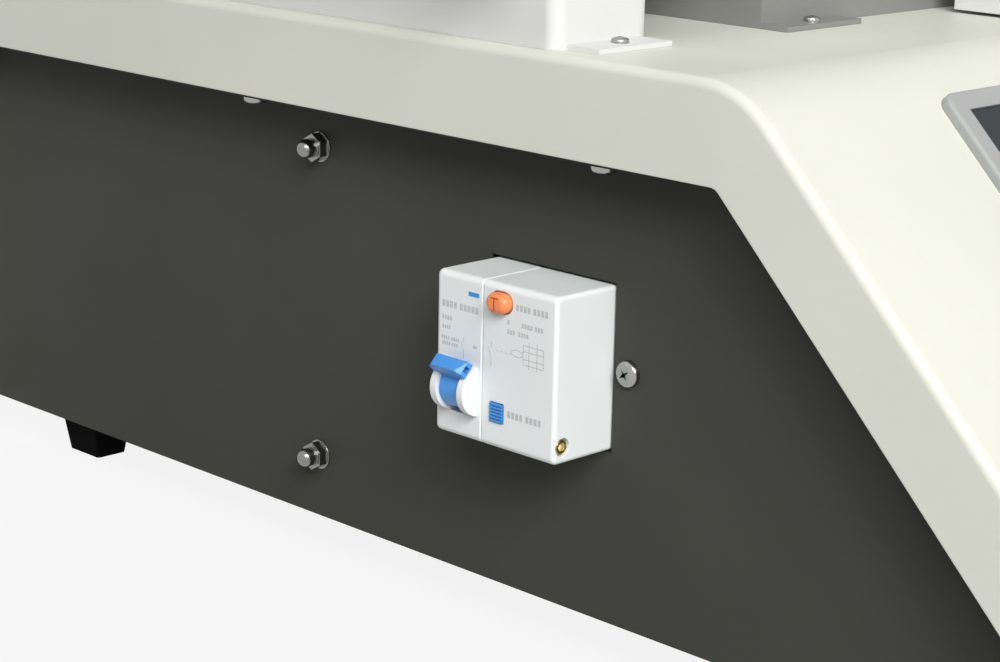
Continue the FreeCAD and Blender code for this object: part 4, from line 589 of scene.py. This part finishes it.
def box_of(points):
    low = Vector(min(point[i] for point in points) for i in range(3))
    high = Vector(max(point[i] for point in points) for i in range(3))
    return low, high


def joined_to(first):
    """All the corners that edges join to the first one."""
    met = {first}
    found = [first]
    for vert in found:
        for edge in vert.link_edges:
            other = edge.other_vert(vert)
            if other not in met:
                met.add(other)
                found.append(other)
    return found


def solids_of(name):
    """The boxes of a node's separate solids, in a fixed order."""
    shape = bmesh.new()
    shape.from_mesh(nodes[name].data)
    bmesh.ops.remove_doubles(shape, verts=shape.verts, dist=SAME_PLACE)
    boxes = []
    met = set()
    for first in shape.verts:
        if first not in met:
            found = joined_to(first)
            met.update(found)
            boxes.append(box_of([vert.co for vert in found]))
    shape.free()
    return boxes


top_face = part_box("top_shell")[1].z
print("screws:", len(solids_of("cabinet_screws")), "heaters:", len(solids_of("lower_heater_tubes")))

# %% [markdown]
# ## Pan-head screws
# Zinc plated screws with a cross recess hold the lip, the breaker's bracket and the tabs on top. The head
# is a ball pressed to a pan shape by a square root, and the recess is cut by two tapered blades. The sizes
# are in millimetres, because the cut is surer on a shape that is not tiny, and the copies are scaled to
# metres. Nobody lines up screw slots, so each screw is turned by a seeded random angle.

# %% A pan head and its cross recess
SCREW_SIZES = {
    "Head Radius": 3.7,
    "Head Height": 2.3,
    "Recess Reach": 2.3,
    "Recess Depth": 1.05,
    "Blade": 0.27,
    "Seed": 7,
}
BLADE_TAPER = 0.35
BLADE_OVER_HEAD = 0.15


def pan_head(tree, given):
    ball = add(tree, "GeometryNodeMeshUVSphere", {"Segments": 32, "Rings": 24, "Radius": 1.0}).outputs[0]
    place = add(tree, "GeometryNodeInputPosition").outputs[0]
    x, y, z = add(tree, "ShaderNodeSeparateXYZ", {0: place}).outputs
    rise = math_node(tree, "POWER", math_node(tree, "MAXIMUM", z, 0.0), 0.5)
    radius = given["Head Radius"]
    pressed = xyz(
        tree,
        math_node(tree, "MULTIPLY", x, radius),
        math_node(tree, "MULTIPLY", y, radius),
        math_node(tree, "MULTIPLY", rise, given["Head Height"]),
    )
    return add(tree, "GeometryNodeSetPosition", {"Geometry": ball, "Position": pressed}).outputs[0]


def recess_blades(tree, given):
    sizes = {"Vertices": 4, "Radius Top": given["Recess Reach"], "Depth": given["Recess Depth"]}
    sizes["Radius Bottom"] = math_node(tree, "MULTIPLY", given["Recess Reach"], BLADE_TAPER)
    spike = add(tree, "GeometryNodeMeshCone", sizes).outputs[0]
    blade = moved(tree, spike, scale=xyz(tree, 1.0, given["Blade"], 1.0))
    sunk = math_node(tree, "SUBTRACT", given["Head Height"], given["Recess Depth"])
    lift = xyz(tree, z=math_node(tree, "ADD", sunk, BLADE_OVER_HEAD))
    return [moved(tree, blade, lift, (0, 0, turn)) for turn in (0, math.pi / 2)]


print("head:", 2 * SCREW_SIZES["Head Radius"], "mm wide and", SCREW_SIZES["Head Height"], "mm high")

# %% Screws on points
BRIGHT = {"lines": 0.04, "variety": 0.05, "softness": 0}
SCREW_ZINC = bare_metal("screw_zinc_plate", (0.38, 0.38, 0.37), roughness=0.16, **BRIGHT)


def any_turn(tree, seed):
    inputs = {"Max": math.tau, "Seed": seed}
    value = add(tree, "FunctionNodeRandomValue", inputs, data_type="FLOAT")
    angle = next(socket for socket in value.outputs if socket.enabled)
    return add(tree, "FunctionNodeAxisAngleToRotation", {"Axis": (0, 0, 1), "Angle": angle}).outputs[0]


def screw_tree():
    tree, given = start_tree("pan_head_screws", SCREW_SIZES)
    cut = add(tree, "GeometryNodeMeshBoolean", {"Mesh 1": pan_head(tree, given)}, operation="DIFFERENCE")
    for blade in recess_blades(tree, given):
        tree.links.new(blade, cut.inputs["Mesh 2"])
    inputs = {"Vector": noted(tree, "axis")}
    looking = add(tree, "FunctionNodeAlignRotationToVector", inputs, axis="Z").outputs[0]
    inputs = {0: looking, 1: any_turn(tree, given["Seed"])}
    turned = add(tree, "FunctionNodeRotateRotation", inputs, rotation_space="LOCAL").outputs[0]
    screws = copies(tree, given["Geometry"], cut.outputs[0], Rotation=turned, Scale=(MM, MM, MM))
    return end_tree(tree, [screws], SCREW_ZINC)


SCREWS = screw_tree()
print("screw tree:", len(SCREWS.nodes), "nodes")

# %% Seats of the screws that the solids have
TAB_SCREWS = {"Head Radius": 2.4, "Head Height": 1.6, "Recess Reach": 1.45, "Recess Depth": 0.6}


def panel_seats():
    """Where each head sits and which way it looks: down under the lip, outward by the breaker."""
    head = SCREW_SIZES["Head Height"] * MM
    breaker_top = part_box("breaker_pole")[1].z
    for low, high in solids_of("cabinet_screws"):
        middle = (low + high) / 2
        if high.z > top_face:
            continue
        if middle.z > breaker_top:
            yield (middle.x, middle.y, low.z + head), (0, 0, -1)
        else:
            yield (low.x + head, middle.y, middle.z), (-1, 0, 0)


def tab_seats():
    """Smaller screws look up from the tabs on top."""
    for low, high in solids_of("cabinet_screws"):
        middle = (low + high) / 2
        if high.z > top_face:
            yield (middle.x, middle.y, high.z - TAB_SCREWS["Head Height"] * MM), (0, 0, 1)


print("on the panels:", len(list(panel_seats())), "on the tabs:", len(list(tab_seats())))

# %% [markdown]
# Screws that the photograph doesn't show are set where such panels have them: round the rear panel, on the
# drive's cover, on the hinge leaves, round the tunnel's mouths and on the brims of the exhaust collars.
# Each place is shot at the piece that it holds, so a head always stands on its surface.

# %% Places on the other sides
REAR_COLUMNS = (-412, -206, 0, 206, 412)
REAR_ROWS = (9, 118)
COVER_INSET = 7 * MM
LEAF_SHARES = (0.25, 0.75)
LEAF_DROPS = (7, 19)
MOUTH_SHARES = (0, 0.25, 0.5, 0.75, 1)
MOUTH_INSET = 5.5 * MM
MOUTH_FOOT = 22 * MM
BRIM_INSET = 4 * MM
BRIM_SCREWS = 6


def rear_places():
    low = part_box("rear_panel")[0]
    for x in REAR_COLUMNS:
        for rise in REAR_ROWS:
            yield x * MM, 0, low.z + rise * MM


def cover_places():
    low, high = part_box("drive_cover")
    for x in (low.x + COVER_INSET, high.x - COVER_INSET):
        for z in (low.z + COVER_INSET, high.z - COVER_INSET):
            yield x, 0, z


def leaf_places():
    for low, high in solids_of("hinge_leaves"):
        for share in LEAF_SHARES:
            for drop in LEAF_DROPS:
                yield low.x + share * (high.x - low.x), 0, high.z - drop * MM


def mouth_places():
    low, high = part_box("tunnel_mouths")
    for share in MOUTH_SHARES:
        yield 0, low.y + MOUTH_INSET + share * (high.y - low.y - 2 * MOUTH_INSET), high.z - MOUTH_INSET
    for y in (low.y + MOUTH_INSET, high.y - MOUTH_INSET):
        yield 0, y, low.z + MOUTH_FOOT


def brim_places():
    for low, high in solids_of("exhaust_collars"):
        middle = (low + high) / 2
        reach = (high.x - low.x) / 2 - BRIM_INSET
        for step in range(BRIM_SCREWS):
            angle = math.tau * (step + 0.5) / BRIM_SCREWS
            yield middle.x + reach * math.cos(angle), middle.y + reach * math.sin(angle), 0


print("more screws on the rear panel:", len(list(rear_places())))

# %% All screws
LEAF_SCREWS = {"Head Radius": 2.6, "Head Height": 1.2, "Recess Reach": 1.5, "Recess Depth": 0.7}


def skin_of(name):
    """A node's surface, to set small pieces on."""
    shape = nodes[name].data
    corners = [vert.co for vert in shape.vertices]
    return BVHTree.FromPolygons(corners, [part.vertices for part in shape.polygons])


def seats_on(name, places, look):
    """Sets each place on a node's surface, coming from the side that the head looks to."""
    skin = skin_of(name)
    look = Vector(look)
    for place in places:
        hit = skin.ray_cast(Vector(place) + look, -look)[0]
        yield tuple(hit), tuple(look)


def cabinet_seats():
    yield from panel_seats()
    yield from seats_on("rear_panel", rear_places(), (0, 1, 0))


def small_seats():
    yield from tab_seats()
    yield from seats_on("drive_cover", cover_places(), (0, 1, 0))


def hood_seats():
    yield from seats_on("hinge_leaves", leaf_places(), (0, 1, 0))
    yield from seats_on("tunnel_mouths", mouth_places(), (1, 0, 0))
    yield from seats_on("tunnel_mouths", mouth_places(), (-1, 0, 0))
    yield from seats_on("exhaust_collars", brim_places(), (0, 0, 1))


def grow_screws(name, seats, sizes=None):
    places, looks = zip(*seats)
    return grow(name, SCREWS, points_mesh(places, axis=looks), sizes)


settle(grow_screws("panel_screws", cabinet_seats()), "cabinet", ["cabinet_screws"])
settle(grow_screws("small_screws", small_seats(), TAB_SCREWS), "cabinet")
settle(grow_screws("hood_screws", hood_seats(), LEAF_SCREWS), "hood_lid")

# %% [markdown]
# ## The woven belt
# The belt is woven from flattened wire spirals, each hooked into the next by a straight cross rod, with
# left and right hand spirals in turn so that the belt runs straight. A flat band with a bump would look
# like printed cloth, so each wire is real here. Points at equal steps round the loop carry the rods, and
# the edges between them the spirals.

# %% Wire and its sizes
BELT_PITCH = 9 * MM
BELT_SIZES = {
    "Wire Radius": 0.35 * MM,
    "Rod Radius": 0.3 * MM,
    "Half Length": 5.1 * MM,
    "Half Thickness": 0.65 * MM,
    "Width": 210 * MM,
    "Turns": 21.0,
}
WOVEN = {"stretch": ALONG_Y, "lines": 0.05, "variety": 0.1, "softness": 0}
BELT_WIRE = bare_metal("belt_wire", (0.46, 0.45, 0.43), roughness=0.4, **WOVEN)


def circle(tree, radius, steps):
    inputs = {"Resolution": steps, "Radius": radius}
    return add(tree, "GeometryNodeCurvePrimitiveCircle", inputs).outputs[0]


def wire(tree, path, radius, sides):
    """A round wire along a curve."""
    inputs = {0: path, 1: circle(tree, radius, sides), "Fill Caps": True}
    return add(tree, "GeometryNodeCurveToMesh", inputs).outputs[0]


def spiral(tree, turns, radius, length, steps, **other):
    inputs = {"Resolution": steps, "Rotations": turns, "Height": length, **other}
    inputs.update({"Start Radius": radius, "End Radius": radius})
    return add(tree, "GeometryNodeCurveSpiral", inputs).outputs[0]


print("belt wire:", round(2 * BELT_SIZES["Wire Radius"] / MM, 2), "mm thick")

# %% Belt of wire spirals
ONTO_Y = (-math.pi / 2, 0, 0)


def edge_centres(tree, loop):
    """A point on each edge of the loop, and a rotation that lies along the edge."""
    ends = add(tree, "GeometryNodeInputMeshEdgeVertices").outputs
    inputs = {0: ends["Position 2"], 1: ends["Position 1"]}
    way = add(tree, "ShaderNodeVectorMath", inputs, operation="SUBTRACT")
    kept = add(tree, "GeometryNodeCaptureAttribute", {"Geometry": loop}, domain="EDGE")
    kept.capture_items.new("VECTOR", "way")
    tree.links.new(way.outputs[0], kept.inputs["way"])
    points = add(tree, "GeometryNodeMeshToPoints", {"Mesh": kept.outputs[0]}, mode="EDGES").outputs[0]
    inputs = {"Vector": kept.outputs["way"]}
    lying = add(tree, "FunctionNodeAlignRotationToVector", inputs, axis="X", pivot_axis="Y").outputs[0]
    return points, lying


def belt_tree():
    tree, given = start_tree("woven_wire_belt", BELT_SIZES)
    between, lying = edge_centres(tree, given["Geometry"])
    parity = math_node(tree, "MODULO", add(tree, "GeometryNodeInputIndex").outputs[0], 2.0)
    start = xyz(tree, y=math_node(tree, "MULTIPLY", given["Width"], -0.5))
    flat = xyz(tree, given["Half Length"], given["Half Thickness"], 1.0)
    rows = []
    for reverse, chosen in ((False, parity), (True, math_node(tree, "SUBTRACT", 1.0, parity))):
        path = spiral(tree, given["Turns"], 1.0, given["Width"], steps=6, Reverse=reverse)
        strand = wire(tree, moved(tree, path, start, ONTO_Y, flat), given["Wire Radius"], sides=3)
        rows.append(copies(tree, between, strand, Selection=chosen, Rotation=lying))
    rod = {"Vertices": 6, "Radius": given["Rod Radius"], "Depth": given["Width"]}
    bar = add(tree, "GeometryNodeMeshCylinder", rod).outputs[0]
    rows.append(copies(tree, given["Geometry"], moved(tree, bar, turn=(math.pi / 2, 0, 0))))
    return end_tree(tree, rows, BELT_WIRE)


BELT = belt_tree()
print("belt tree:", len(BELT.nodes), "nodes")

# %% The belt's loop
BELT_ROOM = 0.25 * MM


def loop_points(half_run, radius, count):
    """Equal steps round two straight runs and two half circles."""
    bend = math.pi * radius
    step = (4 * half_run + 2 * bend) / count
    for i in range(count):
        gone = i * step
        side = 1 if gone < 2 * half_run + bend else -1
        gone -= 0 if side > 0 else 2 * half_run + bend
        if gone < 2 * half_run:
            yield side * (gone - half_run), side * radius
        else:
            angle = (gone - 2 * half_run) / radius
            yield side * (half_run + radius * math.sin(angle)), side * radius * math.cos(angle)


def belt_points():
    low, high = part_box("mesh_belt")
    middle = (low + high) / 2
    outer = (high.z - low.z) / 2
    radius = outer - BELT_SIZES["Half Thickness"] - BELT_SIZES["Wire Radius"] - BELT_ROOM
    half_run = (high.x - low.x) / 2 - outer
    count = 2 * round((4 * half_run + math.tau * radius) / BELT_PITCH / 2)
    places = [(middle.x + x, middle.y, middle.z + z) for x, z in loop_points(half_run, radius, count)]
    return points_mesh(places, edges=[(i, (i + 1) % count) for i in range(count)])


settle(grow("woven_belt", BELT, belt_points()), "cabinet", ["mesh_belt"], ALL_ROUND)

# %% [markdown]
# ## Heater coils
# Inside each quartz tube a coil of resistance wire gives the heat. It shows through the milky glass when
# the hood is open. A spiral curve with a wire round it is made once, and stands in every tube of the lower
# and the upper row.

# %% Coils in the quartz tubes
COIL_SIZES = {"Length": 210 * MM, "Turns": 52.0, "Coil Radius": 3.4 * MM, "Wire Radius": 0.45 * MM}
COIL_ENDS = 16 * MM
COIL_WIRE = bare_metal("oxidised_heater_wire", (0.2, 0.17, 0.15), roughness=0.5, variety=0.2, softness=0)


def coil_tree():
    tree, given = start_tree("heater_coils", COIL_SIZES)
    path = spiral(tree, given["Turns"], given["Coil Radius"], given["Length"], steps=10)
    start = xyz(tree, y=math_node(tree, "MULTIPLY", given["Length"], -0.5))
    strand = wire(tree, moved(tree, path, start, ONTO_Y), given["Wire Radius"], sides=4)
    return end_tree(tree, [copies(tree, given["Geometry"], strand)], COIL_WIRE)


COILS = coil_tree()
for row, body in (("lower", "cabinet"), ("upper", "hood_lid")):
    tubes = solids_of(f"{row}_heater_tubes")
    centres = [(low + high) / 2 for low, high in tubes]
    length = tubes[0][1].y - tubes[0][0].y - COIL_ENDS
    coils = grow(f"{row}_heater_coils", COILS, points_mesh(centres), {"Length": length})
    settle(coils, body, sharp=ALL_ROUND)

# %% [markdown]
# ## The fan guard
# A welded wire guard covers the cooling fan at the outfeed: round rings on two crossed wires that end at
# the frame's corners. The rings differ only in radius, so one input, the step between rings, gives them
# all.

# %% Guard of round wire
GUARD_SIZES = {"Ring Step": 6.8 * MM, "Wire Radius": 0.85 * MM, "Leg": 35.9 * MM}
GUARD_RINGS = 4


def straight(tree, start, end):
    return add(tree, "GeometryNodeCurvePrimitiveLine", {"Start": start, "End": end}).outputs[0]


def guard_tree():
    tree, given = start_tree("fan_guard_wires", GUARD_SIZES)
    whole = add(tree, "GeometryNodeJoinGeometry")
    for ring in range(1, GUARD_RINGS + 1):
        radius = math_node(tree, "MULTIPLY", given["Ring Step"], float(ring))
        bent = wire(tree, circle(tree, radius, steps=16 + 8 * ring), given["Wire Radius"], sides=8)
        tree.links.new(bent, whole.inputs[0])
    back = xyz(tree, math_node(tree, "MULTIPLY", given["Leg"], -1.0))
    leg = wire(tree, straight(tree, back, xyz(tree, given["Leg"])), given["Wire Radius"], sides=8)
    for turn in (math.pi / 4, -math.pi / 4):
        tree.links.new(moved(tree, leg, turn=(0, 0, turn)), whole.inputs[0])
    return end_tree(tree, [copies(tree, given["Geometry"], whole.outputs[0])], SCREW_ZINC)


low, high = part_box("cooling_fan_guard")
guard = grow("wire_fan_guard", guard_tree(), points_mesh([(low + high) / 2]))
settle(guard, "hood_lid", ["cooling_fan_guard"], ALL_ROUND)

# %% [markdown]
# ## Grip ribs on the cable gland
# The gland's dome nut is tightened by hand, so it has ribs round its side. One rounded rib is made and
# stands on the points of a circle.

# %% Ribs of the gland
GLAND_SIZES = {"Ribs": 18, "Circle": 10.7 * MM, "Rib Radius": 0.7 * MM, "Rib Length": 6 * MM}
RIBS_FROM_END = 7 * MM


def gland_tree():
    tree, given = start_tree("gland_ribs", GLAND_SIZES)
    inputs = {"Vertices": given["Ribs"], "Radius": given["Circle"]}
    ring = add(tree, "GeometryNodeMeshCircle", inputs).outputs[0]
    half = math_node(tree, "MULTIPLY", given["Rib Length"], 0.5)
    back = xyz(tree, z=math_node(tree, "MULTIPLY", half, -1.0))
    rib = wire(tree, straight(tree, back, xyz(tree, z=half)), given["Rib Radius"], sides=8)
    crown = moved(tree, copies(tree, ring, rib), turn=(math.pi / 2, 0, 0))
    return end_tree(tree, [copies(tree, given["Geometry"], crown)], FINISHES["black_plastic"])


low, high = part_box("cable_gland")
middle = (low + high) / 2
middle.y = high.y - RIBS_FROM_END
settle(grow("gland_grip_ribs", gland_tree(), points_mesh([middle])), "cabinet")

# %% [markdown]
# ## Print on the breaker
# A breaker's face is pad printed: rows of small type, a circuit sketch, and one short blue bar. The rows
# are plain blocks of the type's height and spacing. Ink is a thin film, so each block stands only a few
# hundredths of a millimetre proud. One flat block is made, and every point says how large its copy is and
# how it is turned.

# %% Rows of blocks
INK = 0.04 * MM
LETTER_WIDTH = 0.6
LETTER_GAP = 0.22
WORD_LENGTHS = (4, 5)


def printed(name, colour):
    """Ink that lies a little unevenly."""
    material, tree, shader, place = start_finish(name)
    patches = spread_out(tree, noise(tree, place, scale=2600.0, detail=4.0))
    ink = varied(tree, patches, colour, darkest=0.85, lightest=1.2)
    tree.links.new(ink, shader.inputs["Base Color"])
    shader.inputs["Roughness"].default_value = 0.5
    return material


def type_row(start, end, rise, tall):
    """Blocks like letters from left to right, in words of four and five."""
    wide = tall * LETTER_WIDTH
    gap = tall * LETTER_GAP
    across = start
    for length in itertools.cycle(WORD_LENGTHS):
        for letter in range(length):
            if across + wide >= end:
                return
            yield (across + wide / 2, rise), (wide, tall), 0
            across += wide + gap
        across += 2 * gap


print("letters in a short row:", len(list(type_row(0, 9, 0, 1))))

# %% Lines of the circuit sketch
LINE = 0.22


def stroke(first, last, thick=LINE):
    """A straight line between two places."""
    run = Vector(last) - Vector(first)
    yield (Vector(first) + Vector(last)) / 2, (run.length, thick), math.atan2(run.y, run.x)


def frame_lines(left, right, top, low):
    corners = ((left, top), (right, top), (right, low), (left, low))
    for first, last in zip(corners, corners[1:] + corners[:1]):
        yield from stroke(first, last)


def coil_lines(across, rise, wide, tall, steps=12):
    angles = [math.tau * step / steps for step in range(steps + 1)]
    ring = [(across + wide * math.cos(angle), rise + tall * math.sin(angle)) for angle in angles]
    for first, last in zip(ring, ring[1:]):
        yield from stroke(first, last)


def switch_lines(across, top, low, tilt):
    """A switch as circuits are drawn: a line, an open contact and a line."""
    upper = top - (top - low) * 0.25
    lower = top - (top - low) * 0.65
    yield from stroke((across, top), (across, upper))
    yield from stroke((across - tilt, upper), (across, lower))
    yield from stroke((across, lower), (across, low))


print("lines of a switch:", len(list(switch_lines(0, 1, 0, 0.2))))

# %% [markdown]
# All print is measured in millimetres on the breaker's face: across from its left edge, and up from its
# middle. A row has where it starts and ends, its rise and the height of its type.

# %% Where the print stands
ROWS = (
    (2.6, 16.4, 13.5, 1.8),
    (2.6, 7.4, 9.7, 1.2),
    (2.7, 6.5, 7.1, 1.0),
    (2.4, 9.2, 4.1, 1.0),
    (2.7, 8.9, 2.6, 1.0),
    (30.3, 42.2, 17.3, 1.7),
    (27.2, 29.0, 12.8, 1.3),
    (32.4, 40.6, 12.8, 1.3),
    (27.3, 30.0, 10.3, 1.2),
    (31.3, 36.1, 10.3, 1.2),
    (27.9, 40.5, -12.1, 1.8),
)
SKETCH_LEFT = 33.2
SKETCH_RIGHT = 40.6
DASH = 0.9


def grey_marks():
    for row in ROWS:
        yield from type_row(*row)
    yield from switch_lines(11.0, top=5.5, low=-0.3, tilt=1.0)
    yield from stroke((14.6, 3.5), (16.0, 3.5), thick=0.9)
    yield from switch_lines(21.4, top=6.5, low=-0.4, tilt=1.1)
    for across in (23.2, 24.8, 26.4, 28.0):
        yield from stroke((across, 4.4), (across + DASH, 4.4))
    yield from coil_lines(31.0, rise=5.0, wide=2.2, tall=0.9)
    yield from frame_lines(SKETCH_LEFT, SKETCH_RIGHT, top=7.7, low=2.5)
    for across in (35.3, 38.2):
        yield from stroke((across, 8.9), (across, 1.5))
    for rise in (6.1, 4.0):
        yield from stroke((SKETCH_LEFT, rise), (SKETCH_RIGHT, rise))


def blue_marks():
    yield from stroke((12.5, 17.7), (16.5, 17.7), thick=1.2)


print("grey marks:", len(list(grey_marks())))

# %% Lay the print on the breaker
pole_low, pole_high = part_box("breaker_pole")
face_left = pole_high.y
face_middle = (pole_low.z + pole_high.z) / 2
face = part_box("leakage_module")[0].x
film_middle = face - INK * 0.3


def print_tree(name, ink):
    tree, given = start_tree(name, {"Film": INK})
    block = add(tree, "GeometryNodeMeshCube").outputs[0]
    film = add(tree, "ShaderNodeSeparateXYZ", {0: noted(tree, "size")}).outputs
    size = xyz(tree, given["Film"], film["Y"], film["Z"])
    blocks = copies(tree, given["Geometry"], block, Scale=size, Rotation=noted(tree, "turn"))
    return end_tree(tree, [blocks], ink)


def lay_print(name, marks, ink):
    """The face looks to the left, so across runs against y, and turns go the other way round."""
    places, sizes, turns = [], [], []
    for (across, rise), (wide, tall), turn in marks:
        places.append((film_middle, face_left - across * MM, face_middle + rise * MM))
        sizes.append((0, wide * MM, tall * MM))
        turns.append((-turn, 0, 0))
    points = points_mesh(places, size=sizes, turn=turns)
    settle(grow(name, print_tree(name, ink), points), "cabinet")


lay_print("breaker_grey_print", grey_marks(), printed("grey_ink", (0.5, 0.515, 0.52)))
lay_print("breaker_blue_print", blue_marks(), printed("blue_ink", (0.03, 0.26, 0.62)))

# %% [markdown]
# The test button carries a T, which every such button has. Its top is domed, so the two lines are laid on
# it: each point of a line is shot straight at the button and stops on its surface.

# %% The T on the test button
T_TALL = 3.2 * MM
T_WIDE = 2.8 * MM
T_LINE = 0.42 * MM
SHOT_FROM = 50 * MM


def laid_strip(shape, target, first, last, steps=8):
    """A narrow strip between two places, laid on a curved face that looks to the left."""
    run = Vector(last) - Vector(first)
    aside = Vector((-run.y, run.x)).normalized() * T_LINE / 2
    pairs = []
    for step in range(steps + 1):
        middle = Vector(first) + run * step / steps
        pair = []
        for y, z in (middle - aside, middle + aside):
            hit = target.ray_cast(Vector((face - SHOT_FROM, y, z)), Vector((1, 0, 0)))[0]
            pair.append(shape.verts.new(hit - Vector((INK, 0, 0))))
        pairs.append(pair)
    for (a, b), (c, d) in zip(pairs, pairs[1:]):
        shape.faces.new((a, b, d, c))


def button_mark():
    low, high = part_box("test_button")
    middle = (low + high) / 2
    top = middle.z + T_TALL / 2
    target = skin_of("test_button")
    shape = bmesh.new()
    laid_strip(shape, target, (middle.y + T_WIDE / 2, top), (middle.y - T_WIDE / 2, top))
    laid_strip(shape, target, (middle.y, top - T_LINE / 2), (middle.y, middle.z - T_TALL / 2))
    bmesh.ops.recalc_face_normals(shape, faces=shape.faces)
    for part in shape.faces:
        if part.normal.x > 0:
            part.normal_flip()
    mesh = bpy.data.meshes.new("test_button_mark")
    shape.to_mesh(mesh)
    shape.free()
    mesh.materials.append(printed("brown_ink", (0.36, 0.07, 0.02)))
    return new_object("test_button_mark", mesh)


settle(button_mark(), body_of["test_button"])

# %% [markdown]
# ## The floor
# The photograph has a plain white ground. A white floor alone would turn grey in the shade, so a pale floor
# carries a weak shadow, and the rays that come straight from the camera, or from a mirror-like surface or
# glass, see it nearly white.

# %% Floor
FLOOR_SIZE = 40
FLOOR_WHITE = 0.88
FLOOR_TONES = ((0.44, 0.44, 0.44, 1), (0.48, 0.48, 0.48, 1))
WHITE = (1, 1, 1, 1)


def seen_white(tree):
    """1 for the rays that should find a white ground: from the camera, a mirror or glass."""
    path = add(tree, "ShaderNodeLightPath").outputs
    direct = math_node(tree, "MAXIMUM", path["Is Camera Ray"], path["Is Glossy Ray"])
    return math_node(tree, "MAXIMUM", direct, path["Is Transmission Ray"])


def floor_finish():
    material, tree, shader, place = start_finish("pale_floor")
    shader.inputs["Roughness"].default_value = 1.0
    shader.inputs["Specular IOR Level"].default_value = 0.0
    mottle = mixed(tree, noise(tree, place, scale=3.0), *FLOOR_TONES)
    tree.links.new(mottle, shader.inputs["Base Color"])
    glow = add(tree, "ShaderNodeEmission", {"Color": WHITE, "Strength": 1.0})
    share = math_node(tree, "MULTIPLY", seen_white(tree), FLOOR_WHITE)
    both = add(tree, "ShaderNodeMixShader", {0: share, 1: shader.outputs[0], 2: glow.outputs[0]})
    tree.links.new(both.outputs[0], tree.nodes["Material Output"].inputs["Surface"])
    return material


def make_floor():
    shape = bmesh.new()
    bmesh.ops.create_grid(shape, x_segments=1, y_segments=1, size=FLOOR_SIZE / 2)
    mesh = bpy.data.meshes.new("floor")
    shape.to_mesh(mesh)
    shape.free()
    mesh.materials.append(floor_finish())
    new_object("floor", mesh)


make_floor()
print("floor:", FLOOR_SIZE, "m wide")

# %% [markdown]
# ## The light
# A soft lamp stands high in front of the infeed end, so the slope is brightest and the lip throws a soft
# shadow on the end panel. A weaker lamp fills the end, and a third one behind lights the sides that the
# photograph doesn't show. Wide lamps are used, because small ones would give the shadows hard edges.

# %% World and lamps
WORLD_LEVEL = 0.2


def make_world():
    world = bpy.data.worlds.new("white_studio")
    bpy.context.scene.world = world
    world.use_nodes = True
    tree = world.node_tree
    level = spread_out(tree, seen_white(tree), 0, 1, WORLD_LEVEL, 1.0)
    tree.links.new(level, tree.nodes["Background"].inputs["Strength"])
    tree.nodes["Background"].inputs["Color"].default_value = WHITE


def make_lamp(name, place, target, width, power):
    data = bpy.data.lights.new(name, "AREA")
    data.size = width
    data.energy = power
    aim = (Vector(target) - Vector(place)).to_track_quat("-Z", "Y")
    new_object(name, data).matrix_world = Matrix.Translation(place) @ aim.to_matrix().to_4x4()
    print(name, power, "W")


make_world()
make_lamp("front_softbox", place=(-1.27, -1.8, 1.4), target=(-0.4, -0.1, 0.1), width=0.9, power=48)
make_lamp("side_softbox", place=(-1.6, -0.9, 1.25), target=(-0.44, 0, 0.1), width=0.8, power=13.5)
make_lamp("rear_softbox", place=(1.9, 2.1, 2.2), target=(0, 0.05, 0.2), width=1.2, power=60)
bpy.context.scene.view_settings.view_transform = "Standard"
